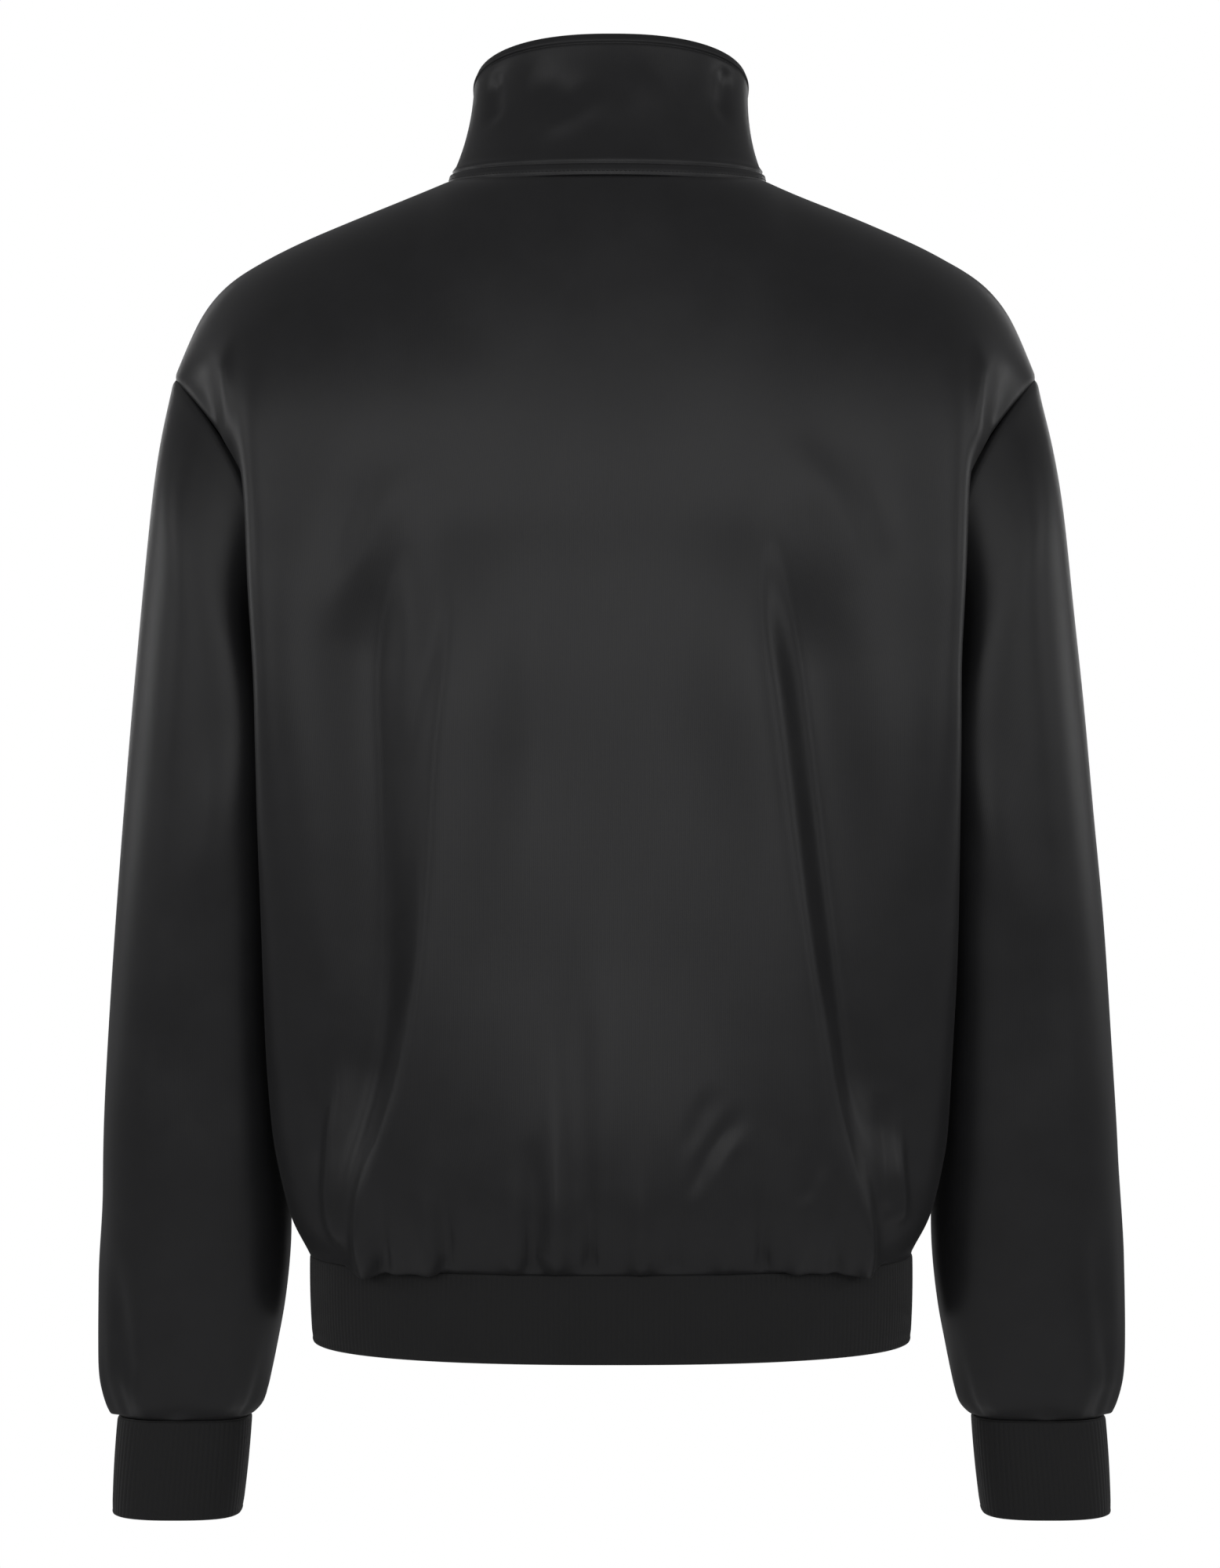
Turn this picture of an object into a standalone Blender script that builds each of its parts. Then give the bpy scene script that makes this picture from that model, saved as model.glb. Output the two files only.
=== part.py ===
"""Track jacket, filled out as worn: satin panels, ribbed hem and cuffs, stand collar, centre front zip.

Frame: metres, +Z up. The wearer faces -Y and the wearer's left is +X. The origin is the middle of the
neck base, level with the high points of the shoulders.
"""
import math
from collections import namedtuple

import bmesh
import bpy
import numpy as np

# ---- sizes -------------------------------------------------------------------------------------------
WALL = 0.0016  # the satin, with its brushed back
SEAM_GAP = 0.0003  # between two pieces at a seam

HEM_SEAM_Z = -0.596
HEM_BOTTOM_Z = -0.6440
UNDERARM_Z = -0.275
ARMHOLE_WIDE_Z = -0.185  # where the armhole is widest, front to back
ARMHOLE_BACK = (0.1930, 0.0660)  # x and y of the armhole at that height
ARMHOLE_FRONT = (0.1840, -0.0450)
FRONT_GAP = 0.0045  # from the centre line to a front edge

NECK_HALF = 0.0885  # to the high point of the shoulder
NECK_SIDE_Y = 0.0130
NECK_BACK = (0.0850, -0.0060)  # y and z at the centre back
NECK_FRONT = (-0.0850, -0.0560)  # y and z at the centre front
TIP_Y = 0.0060  # of the shoulder seam at the armhole

COLLAR_HALF = 0.0768
COLLAR_BACK_Y = 0.0600
COLLAR_FRONT_Y = -0.0800
COLLAR_ROUNDNESS = 2.3
COLLAR_TALL = 0.080  # about, round the back
WELT_RISE = 0.0010  # the neck seam's welt
COLLAR_EDGE_RISE = 0.0005  # the turned top edge

RIB_PITCH = 0.0033
RIB_RISE = 0.00045
CUFF_DROP = 0.0546
HEM_TAPER = 0.992  # the waistband's foot against its top

# ---- numbers of columns and rows ---------------------------------------------------------------------
NECK_COLUMNS = 7  # from the centre to the shoulder's high point
SHOULDER_COLUMNS = 9
LOWER_ROWS = 14  # from the hem seam to the underarm
ARMHOLE_ROWS = 4  # from the underarm to the armhole's widest place
UPPER_ROWS = 8  # from there to the shoulder and neck
COLUMNS = NECK_COLUMNS + SHOULDER_COLUMNS
NECK_SHARE = 0.49  # of a half ring's length, taken by the columns that end at the neck
BODY_NETS = 3  # back and two fronts
HEM_RIBS_PER_STEP = 4  # ribs over each plain step of the wall inside
CUFF_RIBS_PER_STEP = 3

# ---- sections ----------------------------------------------------------------------------------------
BodyRow = namedtuple(
    "BodyRow",
    "z back_half back_corner_y back_y front_half front_corner_y front_y side_half roundness",
)
BODY = (
    BodyRow(-0.596, 0.1673, 0.0120, 0.1180, 0.1675, -0.012, -0.1120, 0.1673, 2.35),
    BodyRow(-0.588, 0.1699, 0.0260, 0.1240, 0.1692, -0.030, -0.1180, 0.1688, 2.30),
    BodyRow(-0.575, 0.1758, 0.0370, 0.1315, 0.1722, -0.045, -0.1255, 0.1704, 2.24),
    BodyRow(-0.555, 0.1812, 0.0410, 0.1365, 0.1748, -0.055, -0.1300, 0.1716, 2.18),
    BodyRow(-0.527, 0.1866, 0.0450, 0.1375, 0.1770, -0.060, -0.1320, 0.1712, 2.16),
    BodyRow(-0.484, 0.1886, 0.0550, 0.1355, 0.1775, -0.062, -0.1325, 0.1700, 2.30),
    BodyRow(-0.420, 0.1890, 0.0740, 0.1320, 0.1780, -0.064, -0.1330, 0.1690, 2.60),
    BodyRow(-0.335, 0.1896, 0.0960, 0.1290, 0.1795, -0.066, -0.1340, 0.1695, 3.00),
    BodyRow(-0.296, 0.1903, 0.1020, 0.1277, 0.1803, -0.067, -0.1345, 0.1702, 3.20),
    BodyRow(-0.275, 0.1906, 0.1035, 0.1270, 0.1810, -0.068, -0.1345, 0.1755, 3.20),
    BodyRow(-0.225, 0.1930, 0.1035, 0.1250, 0.1830, -0.068, -0.1330, 0.1755, 3.20),
    BodyRow(-0.185, 0.1948, 0.0985, 0.1210, 0.1845, -0.066, -0.1290, 0.1755, 3.00),
)

ShoulderRow = namedtuple("ShoulderRow", "x z")
SHOULDER = (
    ShoulderRow(0.0885, 0.0000),
    ShoulderRow(0.1373, -0.0205),
    ShoulderRow(0.1780, -0.0372),
    ShoulderRow(0.2105, -0.0550),
    ShoulderRow(0.2256, -0.0725),
    ShoulderRow(0.2337, -0.0900),
    ShoulderRow(0.2412, -0.1090),
)

# How the upper rows close over the shoulders, by how far out along the top edge a column ends.
ClosingRow = namedtuple("ClosingRow", "out rise_back draw_back rise_front draw_front")
CLOSING = (
    ClosingRow(0.00, 1.40, 1.35, 1.15, 1.20),
    ClosingRow(0.36, 0.90, 0.90, 1.00, 1.05),
    ClosingRow(0.70, 0.80, 0.86, 0.90, 1.00),
    ClosingRow(1.00, 0.78, 1.00, 0.80, 1.00),
)
SPREAD = 1.2  # how late the columns fan out to the shoulder
CORNER_SHARE = 0.16  # the corner at the neck is soft over this share of the columns,
CORNER_POWER = 3.0  # and sharpens with this power of the way up

# Rings of a sleeve below the armhole: its outer line, its inner line, its middle, half its depth and how
# far its inner half lies back.
SleeveRow = namedtuple("SleeveRow", "outer_z outer_x inner_z inner_x middle_y half_depth shear")
SLEEVE = (
    SleeveRow(-0.1500, 0.2496, -0.2890, 0.1845, 0.0100, 0.0620, 0.12),
    SleeveRow(-0.2150, 0.2584, -0.3060, 0.1810, 0.0090, 0.0650, 0.24),
    SleeveRow(-0.2900, 0.2662, -0.3330, 0.1800, 0.0080, 0.0650, 0.30),
    SleeveRow(-0.3702, 0.2736, -0.3850, 0.1815, 0.0060, 0.0635, 0.28),
    SleeveRow(-0.4496, 0.2793, -0.4550, 0.1824, 0.0020, 0.0600, 0.18),
    SleeveRow(-0.5294, 0.2843, -0.5320, 0.1818, -0.0020, 0.0560, 0.10),
    SleeveRow(-0.5827, 0.2860, -0.5840, 0.1798, -0.0080, 0.0520, 0.08),
    SleeveRow(-0.6230, 0.2870, -0.6240, 0.1830, -0.0127, 0.0480, 0.05),
    SleeveRow(-0.6500, 0.2873, -0.6500, 0.1880, -0.0168, 0.0450, 0.03),
    SleeveRow(-0.6680, 0.2864, -0.6680, 0.1918, -0.0185, 0.0410, 0.02),
    SleeveRow(-0.6815, 0.2828, -0.6815, 0.1955, -0.0195, 0.0350, 0.01),
    SleeveRow(-0.6920, 0.2790, -0.6920, 0.2040, -0.0200, 0.0265, 0.00),
)
# Where the sleeve's rows of points lie, counted in its rings from the armhole down.
SLEEVE_ROWS = (
    0, 0.14, 0.34, 0.65, 1, 1.5, 2, 2.6, 3.2, 3.8, 4.4, 5,
    5.5, 6, 6.5, 7.1, 7.8, 8.5, 9.2, 10, 10.6, 11.3, 12,
)
ARMPIT_FLARE = 0.022  # how sharply a sleeve first leaves the armhole's foot
SLEEVE_ROUNDNESS = 2.4
SLEEVE_INNER_ROUNDNESS = 2.8  # of the half beside the body

CuffRow = namedtuple("CuffRow", "drop outer_x inner_x half_depth")
CUFF = (
    CuffRow(0.00, 0.2790, 0.2040, 0.0265),
    CuffRow(1.00, 0.2820, 0.2096, 0.0310),
)

# The jacket hangs a little off its middle plane.
LeanRow = namedtuple("LeanRow", "z shift")
LEAN = (
    LeanRow(-0.650, -0.0009),
    LeanRow(-0.500, -0.0002),
    LeanRow(-0.350, 0.0008),
    LeanRow(-0.200, 0.0020),
    LeanRow(-0.100, 0.0026),
    LeanRow(0.000, 0.0015),
    LeanRow(0.060, -0.0008),
)

# Folds of the body, seen along Y: from one end to the other, its bow to +X, its height (a trough below
# 0), its half widths on the -X and +X sides, and the shares of its length in which its ends die out.
Fold = namedtuple("Fold", "x0 z0 x1 z1 bow rise low_side high_side fade0 fade1")
BACK_FOLDS = (
    Fold(0.077, -0.150, 0.094, -0.390, -0.0040, 0.0060, 0.020, 0.014, 0.35, 0.30),
    Fold(0.092, -0.330, 0.131, -0.592, -0.0065, 0.0085, 0.018, 0.011, 0.35, 0.00),
    Fold(0.119, -0.185, 0.1275, -0.450, 0.0020, -0.0060, 0.012, 0.016, 0.35, 0.25),
    Fold(0.127, -0.420, 0.146, -0.545, 0.0000, -0.0070, 0.011, 0.012, 0.40, 0.25),
    Fold(0.118, -0.175, 0.143, -0.235, 0.0000, 0.0040, 0.011, 0.011, 0.40, 0.40),
    Fold(0.156, -0.480, 0.153, -0.592, 0.0030, 0.0060, 0.014, 0.007, 0.35, 0.00),
    Fold(-0.086, -0.135, -0.088, -0.330, 0.0000, 0.0055, 0.014, 0.018, 0.35, 0.30),
    Fold(-0.088, -0.290, -0.131, -0.592, 0.0020, 0.0080, 0.011, 0.018, 0.35, 0.00),
    Fold(-0.106, -0.225, -0.134, -0.350, 0.0000, -0.0055, 0.014, 0.012, 0.35, 0.25),
    Fold(-0.134, -0.320, -0.143, -0.565, -0.0020, -0.0065, 0.014, 0.011, 0.35, 0.20),
    Fold(-0.109, -0.160, -0.140, -0.215, 0.0000, 0.0040, 0.011, 0.011, 0.40, 0.40),
    Fold(-0.158, -0.490, -0.157, -0.592, -0.0020, 0.0050, 0.007, 0.014, 0.35, 0.00),
    Fold(0.045, -0.180, 0.038, -0.400, 0.0000, -0.0028, 0.014, 0.016, 0.40, 0.40),
    Fold(0.015, -0.425, 0.022, -0.560, 0.0000, -0.0028, 0.010, 0.010, 0.40, 0.40),
    Fold(-0.068, -0.512, -0.039, -0.558, 0.0000, -0.0030, 0.007, 0.008, 0.40, 0.40),
    Fold(-0.1145, -0.525, -0.103, -0.548, 0.0000, -0.0022, 0.006, 0.006, 0.40, 0.40),
    Fold(0.2085, -0.082, 0.2010, -0.165, -0.0015, 0.0060, 0.022, 0.006, 0.45, 0.35),
    Fold(-0.2060, -0.084, -0.1985, -0.165, 0.0015, 0.0060, 0.006, 0.022, 0.45, 0.35),
    Fold(0.222, -0.100, 0.2120, -0.150, 0.0000, -0.0045, 0.008, 0.009, 0.45, 0.35),
    Fold(-0.219, -0.100, -0.2095, -0.150, 0.0000, -0.0045, 0.009, 0.008, 0.45, 0.35),
)
FRONT_FOLDS = (
    Fold(0.070, -0.170, 0.088, -0.400, -0.0030, 0.0050, 0.018, 0.014, 0.35, 0.30),
    Fold(0.086, -0.360, 0.118, -0.592, -0.0050, 0.0075, 0.017, 0.011, 0.35, 0.00),
    Fold(0.118, -0.230, 0.124, -0.520, 0.0020, -0.0060, 0.012, 0.014, 0.35, 0.25),
    Fold(0.150, -0.470, 0.148, -0.592, 0.0020, 0.0050, 0.013, 0.008, 0.35, 0.00),
    Fold(-0.074, -0.150, -0.083, -0.380, 0.0030, 0.0050, 0.014, 0.018, 0.35, 0.30),
    Fold(-0.082, -0.340, -0.122, -0.592, 0.0040, 0.0070, 0.011, 0.017, 0.35, 0.00),
    Fold(-0.112, -0.250, -0.128, -0.540, -0.0020, -0.0055, 0.014, 0.012, 0.35, 0.25),
    Fold(-0.151, -0.480, -0.150, -0.592, -0.0010, 0.0050, 0.008, 0.013, 0.35, 0.00),
    Fold(0.040, -0.200, 0.033, -0.420, 0.0000, -0.0025, 0.012, 0.014, 0.40, 0.40),
    Fold(-0.036, -0.230, -0.041, -0.470, 0.0000, -0.0028, 0.014, 0.012, 0.40, 0.40),
    Fold(0.048, -0.500, 0.060, -0.560, 0.0000, -0.0025, 0.009, 0.009, 0.40, 0.40),
    Fold(-0.055, -0.480, -0.064, -0.560, 0.0000, -0.0025, 0.009, 0.009, 0.40, 0.40),
)

# Gathers over the hem seam: where, how high (a pleat's groove below 0), how wide, how far up.
Gather = namedtuple("Gather", "x rise width reach")
BACK_GATHERS = (
    Gather(0.1290, 0.0022, 0.0075, 0.012),
    Gather(0.1200, -0.0024, 0.0060, 0.009),
    Gather(0.0960, 0.0018, 0.0090, 0.010),
    Gather(0.0860, -0.0022, 0.0070, 0.009),
    Gather(0.0520, 0.0016, 0.0100, 0.010),
    Gather(0.0404, -0.0022, 0.0065, 0.012),
    Gather(0.0296, 0.0022, 0.0080, 0.016),
    Gather(0.0110, -0.0028, 0.0070, 0.012),
    Gather(-0.0158, 0.0020, 0.0100, 0.010),
    Gather(-0.0360, -0.0020, 0.0080, 0.011),
    Gather(-0.0600, 0.0012, 0.0090, 0.009),
    Gather(-0.0804, -0.0026, 0.0070, 0.011),
    Gather(-0.0980, 0.0014, 0.0080, 0.009),
    Gather(-0.1180, -0.0022, 0.0070, 0.010),
    Gather(-0.1340, 0.0024, 0.0080, 0.012),
)
FRONT_GATHERS = (
    Gather(0.0250, 0.0016, 0.0090, 0.010),
    Gather(0.0450, -0.0022, 0.0075, 0.010),
    Gather(0.0680, 0.0020, 0.0085, 0.012),
    Gather(0.0900, -0.0024, 0.0080, 0.010),
    Gather(0.1180, 0.0018, 0.0090, 0.011),
    Gather(0.1380, -0.0020, 0.0080, 0.009),
    Gather(-0.0220, -0.0020, 0.0080, 0.010),
    Gather(-0.0430, 0.0018, 0.0090, 0.012),
    Gather(-0.0660, -0.0024, 0.0080, 0.010),
    Gather(-0.0930, 0.0016, 0.0090, 0.010),
    Gather(-0.1120, -0.0022, 0.0080, 0.011),
    Gather(-0.1360, 0.0018, 0.0090, 0.010),
)

# Folds of a sleeve: `around` is the share of the way round from the outer line by the back.
SleeveFold = namedtuple("SleeveFold", "around0 z0 around1 z1 rise before after fade0 fade1")
LEFT_SLEEVE_FOLDS = (
    SleeveFold(0.10, -0.590, 0.17, -0.680, -0.0035, 0.012, 0.014, 0.45, 0.25),
    SleeveFold(0.02, -0.560, 0.03, -0.690, 0.0020, 0.010, 0.008, 0.40, 0.00),
    SleeveFold(0.24, -0.440, 0.30, -0.560, -0.0030, 0.016, 0.014, 0.45, 0.45),
    SleeveFold(0.30, -0.300, 0.24, -0.420, 0.0025, 0.016, 0.014, 0.45, 0.45),
    SleeveFold(0.80, -0.330, 0.72, -0.450, -0.0035, 0.016, 0.014, 0.45, 0.45),
    SleeveFold(0.70, -0.480, 0.82, -0.560, 0.0030, 0.015, 0.013, 0.45, 0.45),
    SleeveFold(0.78, -0.590, 0.70, -0.680, -0.0035, 0.013, 0.013, 0.45, 0.25),
)
RIGHT_SLEEVE_FOLDS = (
    SleeveFold(0.14, -0.560, 0.10, -0.675, -0.0030, 0.013, 0.013, 0.45, 0.25),
    SleeveFold(0.02, -0.540, 0.02, -0.690, 0.0020, 0.009, 0.009, 0.40, 0.00),
    SleeveFold(0.22, -0.400, 0.29, -0.540, -0.0030, 0.015, 0.016, 0.45, 0.45),
    SleeveFold(0.31, -0.310, 0.25, -0.430, 0.0022, 0.014, 0.015, 0.45, 0.45),
    SleeveFold(0.76, -0.350, 0.83, -0.470, -0.0032, 0.015, 0.015, 0.45, 0.45),
    SleeveFold(0.84, -0.500, 0.72, -0.570, 0.0030, 0.013, 0.015, 0.45, 0.45),
    SleeveFold(0.70, -0.580, 0.77, -0.680, -0.0035, 0.013, 0.013, 0.45, 0.25),
)
SleeveGather = namedtuple("SleeveGather", "around rise width reach")
SLEEVE_GATHERS = (
    SleeveGather(0.04, 0.0016, 0.0080, 0.010),
    SleeveGather(0.11, -0.0018, 0.0070, 0.010),
    SleeveGather(0.17, 0.0018, 0.0080, 0.012),
    SleeveGather(0.24, -0.0018, 0.0080, 0.010),
    SleeveGather(0.33, 0.0016, 0.0080, 0.010),
    SleeveGather(0.41, -0.0020, 0.0075, 0.009),
    SleeveGather(0.47, 0.0014, 0.0080, 0.009),
    SleeveGather(0.55, -0.0016, 0.0080, 0.010),
    SleeveGather(0.63, 0.0016, 0.0080, 0.011),
    SleeveGather(0.71, -0.0018, 0.0080, 0.010),
    SleeveGather(0.80, 0.0016, 0.0085, 0.011),
    SleeveGather(0.88, -0.0018, 0.0080, 0.010),
)

# Soft folds of the collar: `around` runs from the right front edge, by the back, to the left one.
CollarFold = namedtuple("CollarFold", "around0 up0 around1 up1 rise width")
COLLAR_FOLDS = (
    CollarFold(0.345, 0.95, 0.365, 0.42, -0.0030, 0.010),
    CollarFold(0.655, 0.90, 0.640, 0.40, -0.0030, 0.010),
    CollarFold(0.600, 0.78, 0.520, 0.52, -0.0016, 0.012),
    CollarFold(0.590, 0.30, 0.500, 0.62, 0.0018, 0.010),
    CollarFold(0.440, 0.75, 0.520, 0.40, 0.0014, 0.013),
    CollarFold(0.160, 0.80, 0.200, 0.35, -0.0016, 0.014),
    CollarFold(0.850, 0.75, 0.800, 0.30, -0.0018, 0.014),
)
CollarTopRow = namedtuple("CollarTopRow", "y z")
COLLAR_TOP = (
    CollarTopRow(-0.085, 0.0240),
    CollarTopRow(0.000, 0.0557),
    CollarTopRow(0.062, 0.0755),
)
COLLAR_ROWS = (0.0, 0.072, 0.086, 0.30, 0.55, 0.78, 0.935, 0.945, 1.0)
COLLAR_WELT_ROWS = 2  # rows that lie on the welt
COLLAR_EDGE_ROWS = 2  # rows that lie on the turned edge

# ---- zip ---------------------------------------------------------------------------------------------
TAPE_WALL = 0.0008
TAPE_BEHIND = 0.0005  # behind the cloth
TAPE_IN = 0.0150  # from the centre line
TAPE_SHORT = 0.0010  # of each end of the front edge
TAPE_COLUMNS = 4  # of the cloth, that a tape is laid against
CHAIN_WIDTH = 0.0050
CHAIN_THICK = 0.0026
SLIDER_Z = 0.0060  # its middle, on the collar's front edge line
SLIDER_SIZE = (0.0080, 0.0130)  # across and along
SLIDER_POST = 0.0038  # across
CHAIN_BELOW_SLIDER = 0.0012  # from the chain's end to the slider's middle
PLATE = 0.0013
BRIDGE_SIZE = (0.0024, 0.0078)
BRIDGE_GAP = 0.0020
BRIDGE_THICK = 0.0010
BRIDGE_POST = 0.0014
PULL_BAR = 0.0009
PULL_PLAY = 0.0004  # under the bridge's post
PULL_WIDE = 0.0060
PULL_ARM = 0.0014
PULL_HOLE = 0.0082
PULL_LONG = 0.0270
BOX_SIZE = (0.0080, 0.0044, 0.0080)
BOX_FOOT = 0.0015  # above the waistband's edge
STOP_SIZE = (0.0011, 0.0011, 0.0030)
STOP_DROP = 0.0060  # from the tapes' top

# ---- finishes ----------------------------------------------------------------------------------------
Finish = namedtuple("Finish", "name color roughness metallic sheen")
SATIN = Finish("black_satin", (0.020, 0.020, 0.022, 1.0), 0.42, 0.0, 0.25)
RIB_KNIT = Finish("black_rib_knit", (0.022, 0.022, 0.023, 1.0), 0.70, 0.0, 0.30)
TAPE_WEAVE = Finish("black_tape", (0.014, 0.014, 0.015, 1.0), 0.65, 0.0, 0.10)
TEETH = Finish("black_teeth", (0.012, 0.012, 0.013, 1.0), 0.35, 0.0, 0.0)
METAL = Finish("dark_metal", (0.060, 0.060, 0.064, 1.0), 0.30, 1.0, 0.0)


# ---- curves ------------------------------------------------------------------------------------------
def column(rows, name):
    """One named column of a table."""
    return np.array([getattr(row, name) for row in rows], dtype=float)


def monotone(xs, ys, at):
    """A smooth curve through (xs, ys) that never overshoots, read at `at`."""
    xs, ys, at = np.asarray(xs, float), np.asarray(ys, float), np.asarray(at, float)
    step = np.diff(xs)
    slope = np.diff(ys) / step
    bend = np.zeros_like(ys)
    same = slope[:-1] * slope[1:] > 0
    bend[1:-1][same] = 2 / (1 / slope[:-1][same] + 1 / slope[1:][same])
    bend[0], bend[-1] = slope[0], slope[-1]
    i = np.clip(np.searchsorted(xs, at) - 1, 0, len(step) - 1)
    s = np.clip((at - xs[i]) / step[i], 0, 1)
    s2, s3 = s * s, s * s * s
    return (
        (2 * s3 - 3 * s2 + 1) * ys[i]
        + (s3 - 2 * s2 + s) * step[i] * bend[i]
        + (3 * s2 - 2 * s3) * ys[i + 1]
        + (s3 - s2) * step[i] * bend[i + 1]
    )


def body(name, z):
    """A size of the body's section at height z."""
    return monotone(column(BODY, "z"), column(BODY, name), z)


def smoothstep(x):
    """0 below 0, 1 above 1, soft between."""
    x = np.clip(x, 0, 1)
    return x * x * (3 - 2 * x)


def lengths(points):
    """Length along a line of points, from its start."""
    steps = np.linalg.norm(np.diff(points, axis=0), axis=1)
    return np.concatenate([[0], np.cumsum(steps)])


def resample(points, shares):
    """Points at shares of a line's length."""
    along = lengths(points)
    want = np.asarray(shares) * along[-1]
    return np.stack([np.interp(want, along, points[:, k]) for k in range(3)], axis=1)


def unit(v):
    """Vectors of length 1."""
    return v / np.maximum(np.linalg.norm(v, axis=-1, keepdims=True), 1e-12)


# ---- body form ---------------------------------------------------------------------------------------
def edge_at(z, back):
    """The side seam, or the armhole above the underarm: x and y at height z."""
    turn = np.arcsin(np.clip((ARMHOLE_WIDE_Z - z) / (ARMHOLE_WIDE_Z - UNDERARM_Z), 0, 1))
    wide_x, wide_y = ARMHOLE_BACK if back else ARMHOLE_FRONT
    under_x = body("side_half", UNDERARM_Z)
    below = z < UNDERARM_Z
    x = np.where(below, body("side_half", z), under_x + (wide_x - under_x) * np.cos(turn))
    y = np.where(below, 0.0, wide_y * np.cos(turn))
    return x, y


def column_shares():
    """Where the columns stand on the way from the middle to the side."""
    neck = np.linspace(0, NECK_SHARE, NECK_COLUMNS + 1)
    return np.concatenate([neck, np.linspace(NECK_SHARE, 1, SHOULDER_COLUMNS + 1)[1:]])


def half_ring(z, back):
    """A dense line at height z from the middle to the side: across, round the corner, in to the edge."""
    half = body("back_half" if back else "front_half", z)
    corner_y = body("back_corner_y" if back else "front_corner_y", z)
    middle_y = body("back_y" if back else "front_y", z)
    edge_x, edge_y = edge_at(z, back)
    power = 2 / body("roundness", z)
    first = 0.0 if back else math.asin((FRONT_GAP / half) ** (1 / power))
    turn = np.linspace(first, math.pi / 2, 80)
    x = half * np.sin(turn) ** power
    y = corner_y + (middle_y - corner_y) * np.maximum(np.cos(turn), 0) ** power
    t = np.linspace(0, 1, 24)[1:]
    x = np.concatenate([x, edge_x + (half - edge_x) * (1 + np.cos(math.pi * t)) / 2])
    y = np.concatenate([y, corner_y + (edge_y - corner_y) * t])
    return np.stack([x, y, np.full_like(x, z)], axis=1)


def lower_form(back):
    """Heights and, for each, the points of the body's columns at that height."""
    turn = np.linspace(0, math.pi / 2, 24)
    near = ARMHOLE_WIDE_Z - (ARMHOLE_WIDE_Z - UNDERARM_Z) * np.sin(turn)
    low = np.linspace(HEM_SEAM_Z, UNDERARM_Z, 60)
    levels = np.unique(np.concatenate([low, near]))
    shares = column_shares()
    return levels, np.stack([resample(half_ring(z, back), shares) for z in levels])


def top_line(back, neck_columns, shoulder_columns):
    """The neckline from the middle to the shoulder's high point, then the shoulder seam."""
    middle_y, middle_z = NECK_BACK if back else NECK_FRONT
    first = 0.0 if back else math.asin(FRONT_GAP / NECK_HALF)
    turn = np.linspace(first, math.pi / 2, neck_columns + 1)
    swing = np.maximum(np.cos(turn), 0)
    neck = np.stack(
        [
            NECK_HALF * np.sin(turn),
            NECK_SIDE_Y + (middle_y - NECK_SIDE_Y) * swing,
            middle_z * swing ** (1.0 if back else 1.25),
        ],
        axis=1,
    )
    xs, zs = column(SHOULDER, "x"), column(SHOULDER, "z")
    chord = np.concatenate([[0], np.cumsum(np.hypot(np.diff(xs), np.diff(zs)))])
    fine = np.linspace(0, chord[-1], 200)
    seam = np.stack(
        [
            monotone(chord, xs, fine),
            np.linspace(NECK_SIDE_Y, TIP_Y, 200),
            monotone(chord, zs, fine),
        ],
        axis=1,
    )
    shoulder = resample(seam, np.linspace(0, 1, shoulder_columns + 1))
    return np.concatenate([neck, shoulder[1:]])


def softened(line, shares):
    """A line with its corner rounded over CORNER_SHARE of its columns, and its ends kept."""
    before = 2 * line[0] - line[1:][::-1]
    after = 2 * line[-1] - line[:-1][::-1]
    long = np.concatenate([before, line, after])
    at = np.concatenate([-shares[1:][::-1], shares, 2 - shares[:-1][::-1]])
    weight = np.exp(-(((shares[:, None] - at[None, :]) / CORNER_SHARE) ** 2))
    gap = np.gradient(at)
    weight = weight * gap
    return (weight @ long) / weight.sum(axis=1, keepdims=True)


def half_panel(back):
    """Points of half the back, or of a front, on the +X side: rows from the hem up, columns outward."""
    levels, form = lower_form(back)
    shares = column_shares()

    def at(heights):
        rows = [
            [np.interp(z, levels, form[:, j, k]) for k in range(3)] for j, z in enumerate(heights)
        ]
        return np.array(rows)

    rows = []
    for i in range(LOWER_ROWS + 1):
        z = HEM_SEAM_Z + (UNDERARM_Z - HEM_SEAM_Z) * (i / LOWER_ROWS) ** 1.5
        rows.append(at(np.full(COLUMNS + 1, z)))
    for i in range(1, ARMHOLE_ROWS + 1):
        middle = UNDERARM_Z + (ARMHOLE_WIDE_Z - UNDERARM_Z) * i / ARMHOLE_ROWS
        turn = math.pi / 2 * (1 - i / ARMHOLE_ROWS)
        edge = ARMHOLE_WIDE_Z - (ARMHOLE_WIDE_Z - UNDERARM_Z) * math.sin(turn)
        row = at(middle + (edge - middle) * shares**3)
        row[-1, :2] = edge_at(edge, back)
        row[-1, 2] = edge
        rows.append(row)
    base, top = rows[-1], top_line(back, NECK_COLUMNS, SHOULDER_COLUMNS)
    soft = softened(top, shares)
    out = top[:, 0] / top[-1, 0]
    side = "back" if back else "front"
    rise = monotone(column(CLOSING, "out"), column(CLOSING, "rise_" + side), out)
    draw = monotone(column(CLOSING, "out"), column(CLOSING, "draw_" + side), out)
    for i in range(1, UPPER_ROWS + 1):
        turn = math.pi / 2 * i / UPPER_ROWS
        c = max(math.cos(turn), 0.0)
        row = np.empty_like(base)
        row[:, 0] = base[:, 0] + (soft[:, 0] - base[:, 0]) * math.sin(turn) ** SPREAD
        row[:, 1] = soft[:, 1] + (base[:, 1] - soft[:, 1]) * c**draw
        row[:, 2] = base[:, 2] + (soft[:, 2] - base[:, 2]) * math.sin(turn) ** rise
        rows.append(row + (top - soft) * (i / UPPER_ROWS) ** CORNER_POWER)
    return np.array(rows)


def mirror(net):
    """The same points on the other side of the middle plane."""
    return net * np.array([-1.0, 1.0, 1.0])


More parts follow.
